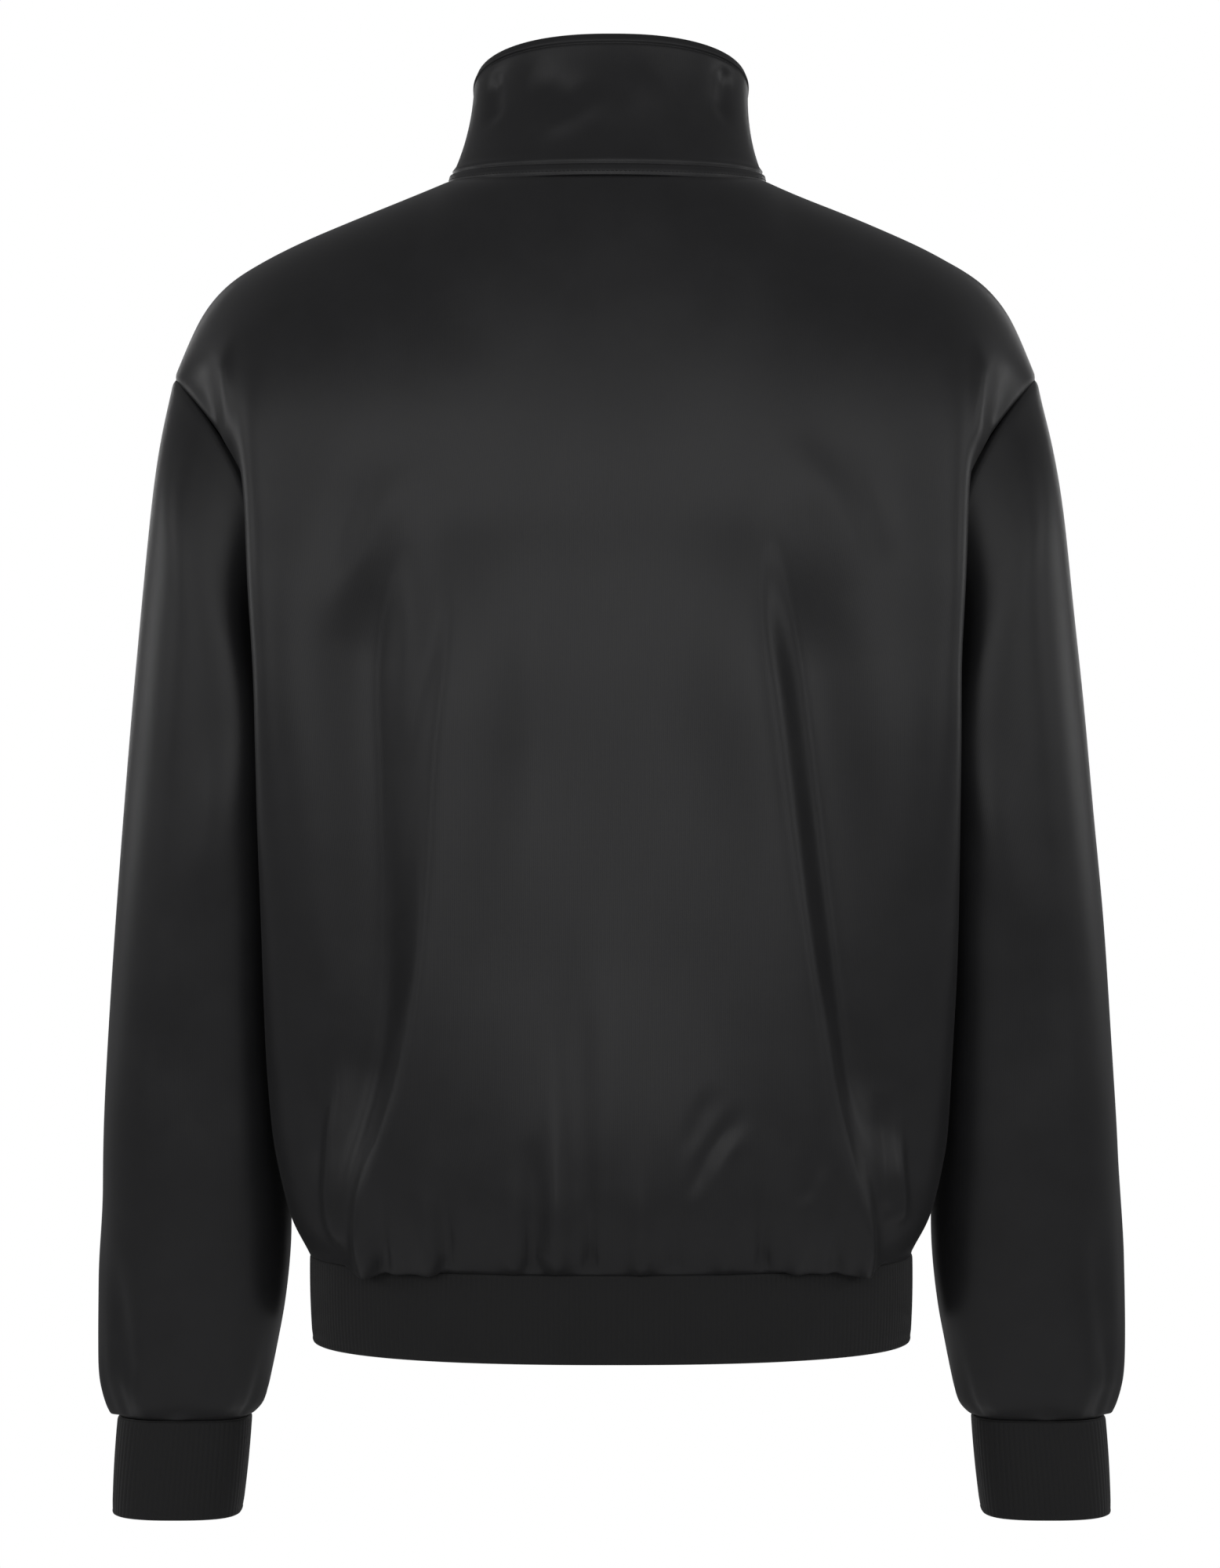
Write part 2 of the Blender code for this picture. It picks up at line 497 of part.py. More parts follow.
# ---- sleeve form -------------------------------------------------------------------------------------
def sleeve_ring(row, turn):
    """A ring of a sleeve on the +X side; turn 0 is its outer line and a quarter turn its back."""
    c, s = np.cos(turn), np.sin(turn)
    power = 2 / np.where(c > 0, SLEEVE_ROUNDNESS, SLEEVE_INNER_ROUNDNESS)
    across = np.sign(c) * np.abs(c) ** power * (row.outer_x - row.inner_x) / 2
    deep = np.sign(s) * np.abs(s) ** power
    return np.stack(
        [
            (row.outer_x + row.inner_x) / 2 + across,
            row.middle_y + row.half_depth * deep - row.shear * across,
            (row.outer_z + row.inner_z) / 2 + (row.outer_z - row.inner_z) / 2 * c,
        ],
        axis=1,
    )


def sleeve_net(back_half, front_half):
    """Rings of the +X sleeve from the armhole to the cuff, on the armhole's own points."""
    first = LOWER_ROWS
    back_edge = back_half[first:, -1][::-1]
    front_edge = front_half[first:, -1]
    hole = np.concatenate([back_edge, front_edge[1:-1]])
    closed_back = lengths(back_edge)
    closed_front = lengths(front_edge)
    turn = np.concatenate(
        [
            math.pi * closed_back / closed_back[-1],
            math.pi * (1 + closed_front[1:-1] / closed_front[-1]),
        ]
    )
    rings = np.stack([hole] + [sleeve_ring(row, turn) for row in SLEEVE])
    slope = np.empty_like(rings)
    slope[1:-1] = (rings[2:] - rings[:-2]) / 2
    slope[0] = rings[1] - rings[0]
    slope[0, :, 0] += ARMPIT_FLARE * ((1 - np.cos(turn)) / 2) ** 1.5
    slope[-1] = rings[-1] - rings[-2]
    net = []
    for s in SLEEVE_ROWS:
        i = min(int(s), len(rings) - 2)
        t = s - i
        t2, t3 = t * t, t * t * t
        net.append(
            (2 * t3 - 3 * t2 + 1) * rings[i]
            + (t3 - 2 * t2 + t) * slope[i]
            + (3 * t2 - 2 * t3) * rings[i + 1]
            + (t3 - t2) * slope[i + 1]
        )
    return np.array(net), turn / (2 * math.pi)


# ---- folds -------------------------------------------------------------------------------------------
def fold_lift(fold, x, z):
    """How far one fold moves the points (x, z)."""
    run = np.array([fold.x1 - fold.x0, fold.z1 - fold.z0])
    long = float(np.hypot(*run))
    along = ((x - fold.x0) * run[0] + (z - fold.z0) * run[1]) / long**2
    beside = ((x - fold.x0) * -run[1] + (z - fold.z0) * run[0]) / long
    middle = 4 * fold.bow * np.clip(along, 0, 1) * (1 - np.clip(along, 0, 1))
    beside = beside - middle * np.sign(-run[1])
    wide = np.where(beside * np.sign(-run[1]) < 0, fold.low_side, fold.high_side)
    lift = fold.rise * np.exp(-((beside / wide) ** 2))
    if fold.fade0 > 0:
        lift = lift * smoothstep(along / fold.fade0)
    if fold.fade1 > 0:
        lift = lift * smoothstep((1 - along) / fold.fade1)
    else:
        lift = lift * (along < 1.5)
    return lift


def body_lift(net, folds, gathers):
    """How far the folds and the hem's gathers move a panel's points."""
    x, z = net[..., 0], net[..., 2]
    lift = sum(fold_lift(fold, x, z) for fold in folds)
    up = np.maximum(z - HEM_SEAM_Z, 0)
    for g in gathers:
        swell = (up / g.reach) * np.exp(1 - up / g.reach)
        lift = lift + g.rise * np.exp(-(((x - g.x) / g.width) ** 2)) * swell
    return lift


def edge_fade(net, sides, foot, head):
    """0 at the edges of a net, 1 away from them; each reach is in metres, None leaves an edge alone."""
    fade = np.ones(net.shape[:2])
    across = np.stack([lengths(row) for row in net])
    up = np.stack([lengths(net[:, j]) for j in range(net.shape[1])], axis=1)
    low, high = sides
    if low:
        fade *= smoothstep(across / low)
    if high:
        fade *= smoothstep((across[:, -1:] - across) / high)
    if foot:
        fade *= smoothstep(up / foot)
    if head:
        fade *= smoothstep((up[-1:] - up) / head)
    return fade


def sleeve_lift(net, around, folds, gathers):
    """Folds and cuff gathers of a sleeve; distances round it are taken on each ring."""
    girth = np.array([lengths(np.vstack([ring, ring[:1]]))[-1] for ring in net])[:, None]
    z = net[..., 2]
    end = net[-1, :, 2][None, :]
    lift = np.zeros(net.shape[:2])
    for f in folds:
        t = (z - f.z0) / (f.z1 - f.z0)
        centre = f.around0 + (f.around1 - f.around0) * np.clip(t, 0, 1)
        beside = ((around[None, :] - centre + 0.5) % 1.0 - 0.5) * girth
        wide = np.where(beside < 0, f.before, f.after)
        one = f.rise * np.exp(-((beside / wide) ** 2)) * smoothstep(t / f.fade0)
        lift += one * (smoothstep((1 - t) / f.fade1) if f.fade1 > 0 else 1.0)
    for g in gathers:
        beside = ((around[None, :] - g.around + 0.5) % 1.0 - 0.5) * girth
        up = np.maximum(z - end, 0)
        lift += g.rise * np.exp(-((beside / g.width) ** 2)) * (up / g.reach) * np.exp(1 - up / g.reach)
    down = np.stack([lengths(net[:, j]) for j in range(net.shape[1])], axis=1)
    return lift * smoothstep(down / 0.02) * smoothstep((down[-1:] - down) / 0.004)


# ---- meshes ------------------------------------------------------------------------------------------
def net_faces(rows, columns, closed):
    """Four-sided faces over a net of points."""
    wrap = columns if closed else columns - 1
    faces = []
    for r in range(rows - 1):
        low, high = r * columns, (r + 1) * columns
        for c in range(wrap):
            n = (c + 1) % columns
            faces.append((low + c, low + n, high + n, high + c))
    return faces


def net_normals(nets):
    """Normals of several nets as one surface. Points that coincide share theirs, and the body, the
    sleeves and the collar count alike where they meet."""
    points = np.concatenate([net.reshape(-1, 3) for net, _ in nets])
    keys = np.round(points * 1e6).astype(np.int64)
    _, index = np.unique(keys, axis=0, return_inverse=True)
    index = index.reshape(-1)
    total = np.zeros((index.max() + 1, 3))
    start, own = 0, np.zeros_like(total)
    for k, (net, closed) in enumerate(nets):
        rows, columns = net.shape[:2]
        faces = np.array(net_faces(rows, columns, closed)) + start
        a, b, c, d = (points[faces[:, i]] for i in range(4))
        normal = np.cross(c - a, d - b)
        for i in range(4):
            np.add.at(own, index[faces[:, i]], normal)
        start += rows * columns
        if k >= BODY_NETS - 1:
            total += unit(own)
            own = np.zeros_like(total)
    normals = unit(total)[index]
    result, start = [], 0
    for net, _ in nets:
        size = net.shape[0] * net.shape[1]
        result.append(normals[start : start + size].reshape(net.shape))
        start += size
    return result


def lean(net):
    """The net shifted sideways as the jacket hangs."""
    moved = net.copy()
    moved[..., 0] += monotone(column(LEAN, "z"), column(LEAN, "shift"), net[..., 2])
    return moved


def mitred(loop, normals, inward):
    """Steps that move a closed loop of edge points half a seam's gap into their panel."""
    ahead = np.roll(loop, -1, axis=0)
    run = unit(ahead - loop)
    level = unit(normals + np.roll(normals, -1, axis=0))
    aside = unit(np.cross(level, run))
    if np.sum(aside * (inward + np.roll(inward, -1, axis=0))) < 0:
        aside = -aside
    before = np.roll(aside, 1, axis=0)
    agree = np.maximum(np.sum(aside * before, axis=1, keepdims=True), -0.4)
    return (aside + before) / (1 + agree) * SEAM_GAP / 2


def drawn_in(net, normals, closed):
    """The net with its seam edges half a seam's gap inside it."""
    result = net.copy()
    rows, columns = net.shape[:2]
    if closed:
        for edge, near in ((0, 1), (rows - 1, rows - 2)):
            result[edge] += mitred(net[edge], normals[edge], net[near] - net[edge])
        return result
    across, up = np.arange(columns - 1), np.arange(rows - 1)
    r = np.concatenate([0 * across, up, 0 * across + rows - 1, rows - 1 - up])
    c = np.concatenate([across, 0 * up + columns - 1, columns - 1 - across, 0 * up])
    near = net[np.clip(r, 1, rows - 2), np.clip(c, 1, columns - 2)]
    result[r, c] += mitred(net[r, c], normals[r, c], near - net[r, c])
    return result


def split(points, quads):
    """Each four-sided face as two triangles, over its shorter diagonal."""
    result = []
    for a, b, c, d in quads:
        if np.sum((points[a] - points[c]) ** 2) <= np.sum((points[b] - points[d]) ** 2) * 1.0001:
            result += [(a, b, c), (a, c, d)]
        else:
            result += [(b, c, d), (b, d, a)]
    return result


def wall_mesh(outer, inner, closed):
    """Points and faces of a wall between two nets of the same size; both sides are split alike."""
    rows, columns = outer.shape[:2]
    count = rows * columns
    points = np.concatenate([outer.reshape(-1, 3), inner.reshape(-1, 3)])
    faces = split(points, net_faces(rows, columns, closed))
    faces += [tuple(count + i for i in reversed(face)) for face in faces]
    rims = []
    wrap = columns if closed else columns - 1
    for c in range(wrap):
        n = (c + 1) % columns
        rims.append((n, c, count + c, count + n))
        top = (rows - 1) * columns
        rims.append((top + c, top + n, count + top + n, count + top + c))
    if not closed:
        last = columns - 1
        for r in range(rows - 1):
            a, b = r * columns, (r + 1) * columns
            rims.append((a, b, count + b, count + a))
            rims.append((b + last, a + last, count + a + last, count + b + last))
    return points, faces + split(points, rims)


def ribbed_mesh(outer, inner, step, closed):
    """A wall whose outer net has `step` columns for each column of its inner net."""
    rows, many = outer.shape[:2]
    few = inner.shape[1]
    count = rows * many
    points = np.concatenate([outer.reshape(-1, 3), inner.reshape(-1, 3)])
    faces = net_faces(rows, many, closed)
    faces += [tuple(count + i for i in reversed(face)) for face in net_faces(rows, few, closed)]
    for c in range(few if closed else few - 1):
        n = (c + 1) % few
        run = [(c * step + k) % many for k in range(step + 1)]
        faces.append(tuple(reversed(run)) + (count + c, count + n))
        top, inner_top = (rows - 1) * many, count + (rows - 1) * few
        faces.append(tuple(top + i for i in run) + (inner_top + n, inner_top + c))
    if not closed:
        for r in range(rows - 1):
            a, b = r * many, (r + 1) * many
            c, d = count + r * few, count + (r + 1) * few
            faces.append((a, b, d, c))
            faces.append((b + many - 1, a + many - 1, c + few - 1, d + few - 1))
    return points, faces


def signed_volume(points, faces):
    """Volume, negative where the faces point inward."""
    total = 0.0
    for face in faces:
        a = points[face[0]]
        for i in range(1, len(face) - 1):
            total += float(np.dot(a, np.cross(points[face[i]], points[face[i + 1]])))
    return total / 6


def add_object(name, points, faces, finish, collection, origin=(0.0, 0.0, 0.0)):
    """A named solid whose faces point outward, with its own material."""
    if signed_volume(points, faces) < 0:
        faces = [tuple(reversed(face)) for face in faces]
    mesh = bpy.data.meshes.new(name)
    local = points - np.array(origin)
    mesh.from_pydata([tuple(map(float, p)) for p in local], [], [tuple(map(int, f)) for f in faces])
    mesh.validate()
    material = bpy.data.materials.new(name + "_" + finish.name)
    material.use_nodes = True
    shader = material.node_tree.nodes["Principled BSDF"]
    shader.inputs["Base Color"].default_value = finish.color
    shader.inputs["Roughness"].default_value = finish.roughness
    shader.inputs["Metallic"].default_value = finish.metallic
    shader.inputs["Sheen Weight"].default_value = finish.sheen
    material.diffuse_color = finish.color
    mesh.materials.append(material)
    bm = bmesh.new()
    bm.from_mesh(mesh)
    if finish is METAL:
        bmesh.ops.dissolve_limit(bm, angle_limit=math.radians(1), verts=bm.verts, edges=bm.edges)
    bmesh.ops.triangulate(bm, faces=[f for f in bm.faces if len(f.verts) > 4])
    bm.to_mesh(mesh)
    bm.free()
    obj = bpy.data.objects.new(name, mesh)
    obj.location = origin
    collection.objects.link(obj)
    return obj


def cells_mesh(xs, ys, zs, filled):
    """The outside of the filled cells of a small grid of boxes."""
    points, index, faces = [], {}, []

    def corner(i, j, k):
        if (i, j, k) not in index:
            index[(i, j, k)] = len(points)
            points.append((xs[i], ys[j], zs[k]))
        return index[(i, j, k)]

    sides = (
        ((1, 0, 0), ((1, 0, 0), (1, 1, 0), (1, 1, 1), (1, 0, 1))),
        ((-1, 0, 0), ((0, 0, 0), (0, 0, 1), (0, 1, 1), (0, 1, 0))),
        ((0, 1, 0), ((0, 1, 0), (0, 1, 1), (1, 1, 1), (1, 1, 0))),
        ((0, -1, 0), ((0, 0, 0), (1, 0, 0), (1, 0, 1), (0, 0, 1))),
        ((0, 0, 1), ((0, 0, 1), (1, 0, 1), (1, 1, 1), (0, 1, 1))),
        ((0, 0, -1), ((0, 0, 0), (0, 1, 0), (1, 1, 0), (1, 0, 0))),
    )
    for i, j, k in sorted(filled):
        for step, square in sides:
            if (i + step[0], j + step[1], k + step[2]) not in filled:
                faces.append(tuple(corner(i + a, j + b, k + c) for a, b, c in square))
    return np.array(points), faces


def box_mesh(x, y, z):
    """A box between pairs of limits."""
    return cells_mesh(x, y, z, {(0, 0, 0)})


# ---- pieces ------------------------------------------------------------------------------------------
def body_nets():
    """Outer nets of the back and the two fronts, folded; the first is the back, columns from +X to -X."""
    back_half, front_half = half_panel(True), half_panel(False)
    back = np.concatenate([back_half[:, ::-1], mirror(back_half)[:, 1:]], axis=1)
    right = mirror(front_half)[:, ::-1]
    left = front_half
    sleeve, around = sleeve_net(back_half, front_half)
    return back, right, left, sleeve, mirror(sleeve)[:, ::-1], around


def collar_net(back, right, left):
    """The collar from the right front edge by the back to the left one: rows from the neck seam up."""
    n = NECK_COLUMNS
    middle = COLUMNS
    back_top = back[-1, middle - n : middle + n + 1][::-1]
    neck = np.concatenate([right[-1, -1 - n :][::-1][:-1], back_top[:-1], left[-1, : n + 1][::-1]])
    power = 2 / COLLAR_ROUNDNESS
    halves = []
    opening = math.asin((FRONT_GAP / COLLAR_HALF) ** (1 / power))
    for depth, first in ((COLLAR_FRONT_Y, opening), (COLLAR_BACK_Y, 0.0)):
        turn = np.linspace(first, math.pi / 2, 120)
        x = COLLAR_HALF * np.sin(turn) ** power
        y = depth * np.maximum(np.cos(turn), 0) ** power
        halves.append(np.stack([x, y, collar_top_z(y)], axis=1))
    front = resample(halves[0], np.linspace(0, 1, n + 1))
    rear = resample(halves[1], np.linspace(0, 1, n + 1))
    half = np.concatenate([front, rear[::-1][1:]])
    top = np.concatenate([mirror(half), half[::-1][1:]])
    count = len(neck)
    place = np.abs(np.linspace(-1, 1, count))
    power = monotone((0, 0.5, 1), (1.5, 2.2, 1.2), place)[:, None]
    rows = []
    for up in COLLAR_ROWS:
        row = neck + (top - neck) * (1 - (1 - up) ** power)
        row[:, 2] = neck[:, 2] + (top[:, 2] - neck[:, 2]) * up
        rows.append(row)
    return np.array(rows)


def collar_top_z(y):
    """Height of the collar's top edge, from the low front to the back."""
    return monotone(column(COLLAR_TOP, "y"), column(COLLAR_TOP, "z"), y)


def collar_lift(net):
    """Soft folds between the welt and the turned edge."""
    count = net.shape[1]
    around = np.linspace(0, 1, count)[None, :]
    up = np.array(COLLAR_ROWS)[:, None]
    ring = lengths(net[0])[-1]
    lift = np.zeros(net.shape[:2])
    for f in COLLAR_FOLDS:
        run = np.array([(f.around1 - f.around0) * ring, (f.up1 - f.up0) * COLLAR_TALL])
        long = float(np.hypot(*run))
        dx, dz = (around - f.around0) * ring, (up - f.up0) * COLLAR_TALL
        t = (dx * run[0] + dz * run[1]) / long**2
        beside = (dx * -run[1] + dz * run[0]) / long
        ends = np.exp(-((np.maximum(np.maximum(-t, t - 1), 0) * long / f.width) ** 2))
        lift += f.rise * np.exp(-((beside / f.width) ** 2)) * ends
    inside = smoothstep((up - 0.09) / 0.12) * smoothstep((0.94 - up) / 0.10)
    return lift * inside


def hem_outline():
    """The waistband's line from the right front edge by the back to the left one, at z = 0."""
    back = half_ring(HEM_SEAM_Z, True)
    front = half_ring(HEM_SEAM_Z, False)
    half = np.concatenate([front, back[::-1][1:]])
    line = np.concatenate([mirror(half), half[::-1][1:]])
    line[:, 2] = 0.0
    return line


def line_normals(line, closed):
    """Outward normals of a level line of points."""
    before = np.roll(line, 1, axis=0)
    after = np.roll(line, -1, axis=0)
    if not closed:
        before[0], after[-1] = line[0], line[-1]
    run = unit(after - before)
    normal = np.stack([run[:, 1], -run[:, 0], np.zeros(len(run))], axis=1)
    outward = np.sum(normal * (line - line.mean(axis=0)), axis=1).sum()
    return normal if outward > 0 else -normal


def make_hem(collection):
    """The ribbed waistband: its ribs stand on the outside of a plain wall."""
    line = hem_outline()
    girth = lengths(line)[-1]
    steps = round(girth / (RIB_PITCH * HEM_RIBS_PER_STEP))
    many = steps * HEM_RIBS_PER_STEP * 2
    outer_line = resample(line, np.linspace(0, 1, many + 1))
    inner_line = resample(line, np.linspace(0, 1, steps + 1))
    raised = np.where(np.arange(many + 1) % 2 == 1, RIB_RISE, 0.0)[:, None]
    outer_line = outer_line + line_normals(outer_line, False) * raised
    inner_line = inner_line - line_normals(inner_line, False) * WALL
    levels = (HEM_BOTTOM_Z, HEM_SEAM_Z - SEAM_GAP * 0.75)
    sizes = (np.array([HEM_TAPER, HEM_TAPER, 1.0]), np.ones(3))
    outer = np.stack([outer_line * size + np.array([0, 0, z]) for size, z in zip(sizes, levels)])
    inner = np.stack([inner_line * size + np.array([0, 0, z]) for size, z in zip(sizes, levels)])
    outer[:, [0, -1], 0] = outer[1, [0, -1], 0]
    inner[:, [0, -1], 0] = inner[1, [0, -1], 0]
    outer, inner = lean(outer), lean(inner)
    points, faces = ribbed_mesh(outer, inner, HEM_RIBS_PER_STEP * 2, False)
    return add_object("hem_rib", points, faces, RIB_KNIT, collection)


def cuff_ring(row, count):
    """Evenly spaced points round a cuff."""
    turn = np.linspace(0, 2 * math.pi, 721)
    ring = sleeve_ring(
        SleeveRow(0, row.outer_x, 0, row.inner_x, SLEEVE[-1].middle_y, row.half_depth, 0), turn
    )
    ring[:, 2] = SLEEVE[-1].outer_z - CUFF_DROP * row.drop
    return resample(ring, np.linspace(0, 1, count + 1))[:-1]


def make_cuff(name, side, collection):
    """A ribbed cuff under the sleeve's gathered end."""
    top = cuff_ring(CUFF[0], 360)
    girth = lengths(np.vstack([top, top[:1]]))[-1]
    steps = round(girth / (RIB_PITCH * CUFF_RIBS_PER_STEP))
    many = steps * CUFF_RIBS_PER_STEP * 2
    raised = np.where(np.arange(many) % 2 == 1, RIB_RISE, 0.0)[:, None]
    outer, inner = [], []
    for row in CUFF:
        line = cuff_ring(row, many)
        outer.append(line + line_normals(line, True) * raised)
        plain = cuff_ring(row, steps)
        inner.append(plain - line_normals(plain, True) * WALL)
    outer, inner = np.array(outer), np.array(inner)
    outer[0, :, 2] -= SEAM_GAP / 2
    inner[0, :, 2] -= SEAM_GAP / 2
    flip = np.array([side, 1.0, 1.0])
    points, faces = ribbed_mesh(lean(outer * flip), lean(inner * flip), CUFF_RIBS_PER_STEP * 2, True)
    return add_object(name, points, faces, RIB_KNIT, collection)


def make_cloth(collection):
    """Back, fronts, sleeves and collar from one surface; returns the nets the zip is laid against."""
    back, right, left, sleeve_l, sleeve_r, around = body_nets()
    collar = collar_net(back, right, left)
    nets = [(net, False) for net in (back, right, left)]
    nets += [(sleeve_l, True), (sleeve_r, True), (collar, False)]
    normals = net_normals(nets)
    signs = [outward_sign(net, normal) for (net, _), normal in zip(nets, normals)]
    seam = dict(foot=0.004, head=0.015)
    lifts = [
        body_lift(back, BACK_FOLDS, BACK_GATHERS) * edge_fade(back, (0.010, 0.010), **seam),
        body_lift(right, FRONT_FOLDS, FRONT_GATHERS) * edge_fade(right, (0.010, 0.012), **seam),
        body_lift(left, FRONT_FOLDS, FRONT_GATHERS) * edge_fade(left, (0.012, 0.010), **seam),
        sleeve_lift(sleeve_l, around, LEFT_SLEEVE_FOLDS, SLEEVE_GATHERS),
        sleeve_lift(sleeve_r, around[::-1], RIGHT_SLEEVE_FOLDS, SLEEVE_GATHERS),
        collar_lift(collar),
    ]
    flat = shared_normals(nets, signs)
    folded = [
        (lean(net + normal * lift[..., None]), closed)
        for (net, closed), normal, lift in zip(nets, flat, lifts)
    ]
    final = shared_normals(folded, signs)
    blend_foot(final[0], 0)
    blend_foot(final[1], 0)
    blend_foot(final[2], 0)
    for k in (3, 4):
        ring = folded[k][0][-1]
        radial = ring - ring.mean(axis=0)
        radial[:, 2] = 0
        final[k][-1] = unit(final[k][-1] + unit(radial))
    names = ("back", "front_right", "front_left", "sleeve_left", "sleeve_right", "collar")
    for name, (net, closed), normal in zip(names, folded, final):
        outer = drawn_in(net, normal, closed)
        inner = outer - normal * WALL
        if name == "collar":
            raise_rows(outer, normal)
        points, faces = wall_mesh(outer, inner, closed)
        add_object(name, points, faces, SATIN, collection)
    return folded, final


def raise_rows(outer, normal):
    """The neck seam's welt and the turned top edge, raised on the collar's outside."""
    outer[:COLLAR_WELT_ROWS] += normal[:COLLAR_WELT_ROWS] * WELT_RISE
    outer[-COLLAR_EDGE_ROWS:] += normal[-COLLAR_EDGE_ROWS:] * COLLAR_EDGE_RISE


def outward_sign(net, normal):
    """1 where the normals point away from the piece's own hollow, -1 where they point into it."""
    middle = net.mean(axis=(0, 1))
    if net[..., 0].min() * net[..., 0].max() < 0 or abs(middle[0]) < 0.15:
        middle = np.array([0.0, 0.0, middle[2]])
    away = net - middle
    away[..., 2] = 0
    return 1.0 if np.sum(normal * away) > 0 else -1.0


def shared_normals(nets, signs):
    """Outward normals, shared where nets meet."""
    turned = [
        (net if sign > 0 else net[:, ::-1], closed) for (net, closed), sign in zip(nets, signs)
    ]
    found = net_normals(turned)
    return [n if sign > 0 else n[:, ::-1] for n, sign in zip(found, signs)]


def blend_foot(normal, row):
    """At the hem seam the wall turns to stand over the waistband's."""
    level = normal[row].copy()
    level[:, 2] = 0
    normal[row] = unit(normal[row] + unit(level))


def front_line(nets):
    """The centre front: y and z of the cloth's outside from the waistband's foot to the collar's top."""
    left, collar = nets[2], nets[5]
    hem_y = float(left[0, 0, 1])
    rows = [(hem_y * HEM_TAPER, HEM_BOTTOM_Z), (hem_y, HEM_SEAM_Z)]
    rows += [(float(p[1]), float(p[2])) for p in left[1:, 0]]
    rows += [(float(p[1]), float(p[2])) for p in collar[1:, -1]]
    return np.array(rows)


def line_frame(line):
    """Directions out of the cloth along the front line, in the middle plane."""
    before, after = np.vstack([line[:1], line[:-1]]), np.vstack([line[1:], line[-1:]])
    run = unit(after - before)
    return np.stack([-run[:, 1], run[:, 0]], axis=1)


def strip_mesh(line, x_limits, d_limits):
    """A strip along the front line between x limits and depths behind the cloth's outside."""
    out = line_frame(line)
    points = []
    for (y, z), (oy, oz) in zip(line, out):
        for d in d_limits:
            for x in x_limits:
                points.append((x, y - oy * d, z - oz * d))
    faces = [(0, 1, 3, 2), tuple(4 * (len(line) - 1) + i for i in (2, 3, 1, 0))]
    for r in range(len(line) - 1):
        a, b = 4 * r, 4 * (r + 1)
        for i, j in ((0, 1), (1, 3), (3, 2), (2, 0)):
            faces.append((a + i, b + i, b + j, a + j))
    return np.array(points), faces


def cut_line(line, low, high):
    """The part of the front line between two heights."""
    order = line[:, 1]
    keep = (order > low + 1e-4) & (order < high - 1e-4)
    ends = [(np.interp(z, order, line[:, 0]), z) for z in (low, high)]
    return np.vstack([ends[:1], line[keep], ends[1:]])


def at_height(line, z):
    """Point and frame of the front line at a height."""
    out = line_frame(line)
    order = line[:, 1]
    y = float(np.interp(z, order, line[:, 0]))
    o = unit(np.array([[np.interp(z, order, out[:, k]) for k in range(2)]]))[0]
    return y, o


def across(points, normals, xs):
    """Points and normals of one row of cloth at distances from the middle plane."""
    at, sides = np.abs(points[:, 0]), np.asarray(xs)
    order = np.argsort(at)
    at, points, normals = at[order], points[order], normals[order]
    spots = np.stack([np.interp(sides, at, points[:, k]) for k in range(3)], axis=1)
    faces = unit(np.stack([np.interp(sides, at, normals[:, k]) for k in range(3)], axis=1))
    spots[:, 0] = np.sign(points[:, 0].mean()) * sides
    return spots, faces


def tape_net(front, front_normal, collar, collar_normal, edge, xs):
    """A tape's outer points: behind the waistband, a front and the collar; and the cloth's normals."""
    near = [edge + step * (1 if edge == 0 else -1) for step in range(TAPE_COLUMNS)]
    rows, faces = [], []
    for r in range(front.shape[0]):
        spots, face = across(front[r, near], front_normal[r, near], xs)
        if r == 0:
            low = spots.copy()
            level = face.copy()
            low[:, 1] *= HEM_TAPER
            low[:, 2] = HEM_BOTTOM_Z + TAPE_SHORT
            level[:, 2] = 0
            rows.append(low)
            faces.append(unit(level))
        rows.append(spots)
        faces.append(face)
    collar_edge = collar.shape[1] - 1 if edge == 0 else 0
    near = [collar_edge + step * (-1 if edge == 0 else 1) for step in range(TAPE_COLUMNS)]
    for r in range(1, collar.shape[0]):
        spots, face = across(collar[r, near], collar_normal[r, near], xs)
        if r == collar.shape[0] - 1:
            spots = spots + unit(rows[-1] - spots) * TAPE_SHORT
        rows.append(spots)
        faces.append(face)
    return np.array(rows), np.array(faces)


def make_zip(folded, final, collection):
    """Tapes, chain, box, stops and slider, laid behind and between the front edges."""
    nets = [lean_back(net) for net, _ in folded]
    line = front_line(nets)
    shift = float(lean(np.array([[[0, 0, SLIDER_Z]]]))[0, 0, 0])
    depth = WALL + TAPE_BEHIND
    middle = depth + TAPE_WALL / 2
    top = float(line[-1, 1]) - TAPE_SHORT
    xs = (CHAIN_WIDTH / 2 + SEAM_GAP, FRONT_GAP, TAPE_IN)
    for name, k, edge in (("zip_tape_left", 2, 0), ("zip_tape_right", 1, COLUMNS)):
        outer, face = tape_net(nets[k], final[k], nets[5], final[5], edge, xs)
        front, rear = outer - face * depth, outer - face * (depth + TAPE_WALL)
        for net in (front, rear):
            net[:, 0, 0] = outer[:, 0, 0]
        points, faces = wall_mesh(lean(front), lean(rear), False)
        add_object(name, points, faces, TAPE_WEAVE, collection)
    box_top = HEM_BOTTOM_Z + BOX_SIZE[2] + BOX_FOOT
    chain_line = cut_line(line, box_top + SEAM_GAP, SLIDER_Z - CHAIN_BELOW_SLIDER)
    limits = (-CHAIN_WIDTH / 2, CHAIN_WIDTH / 2)
    depths = (middle - CHAIN_THICK / 2, middle + CHAIN_THICK / 2)
    points, faces = strip_mesh(chain_line, limits, depths)
    add_object("zip_chain", lean_points(points), faces, TEETH, collection)
    make_box(line, middle, collection)
    make_stops(line, middle, top, collection)
    make_slider(line, middle, shift, collection)


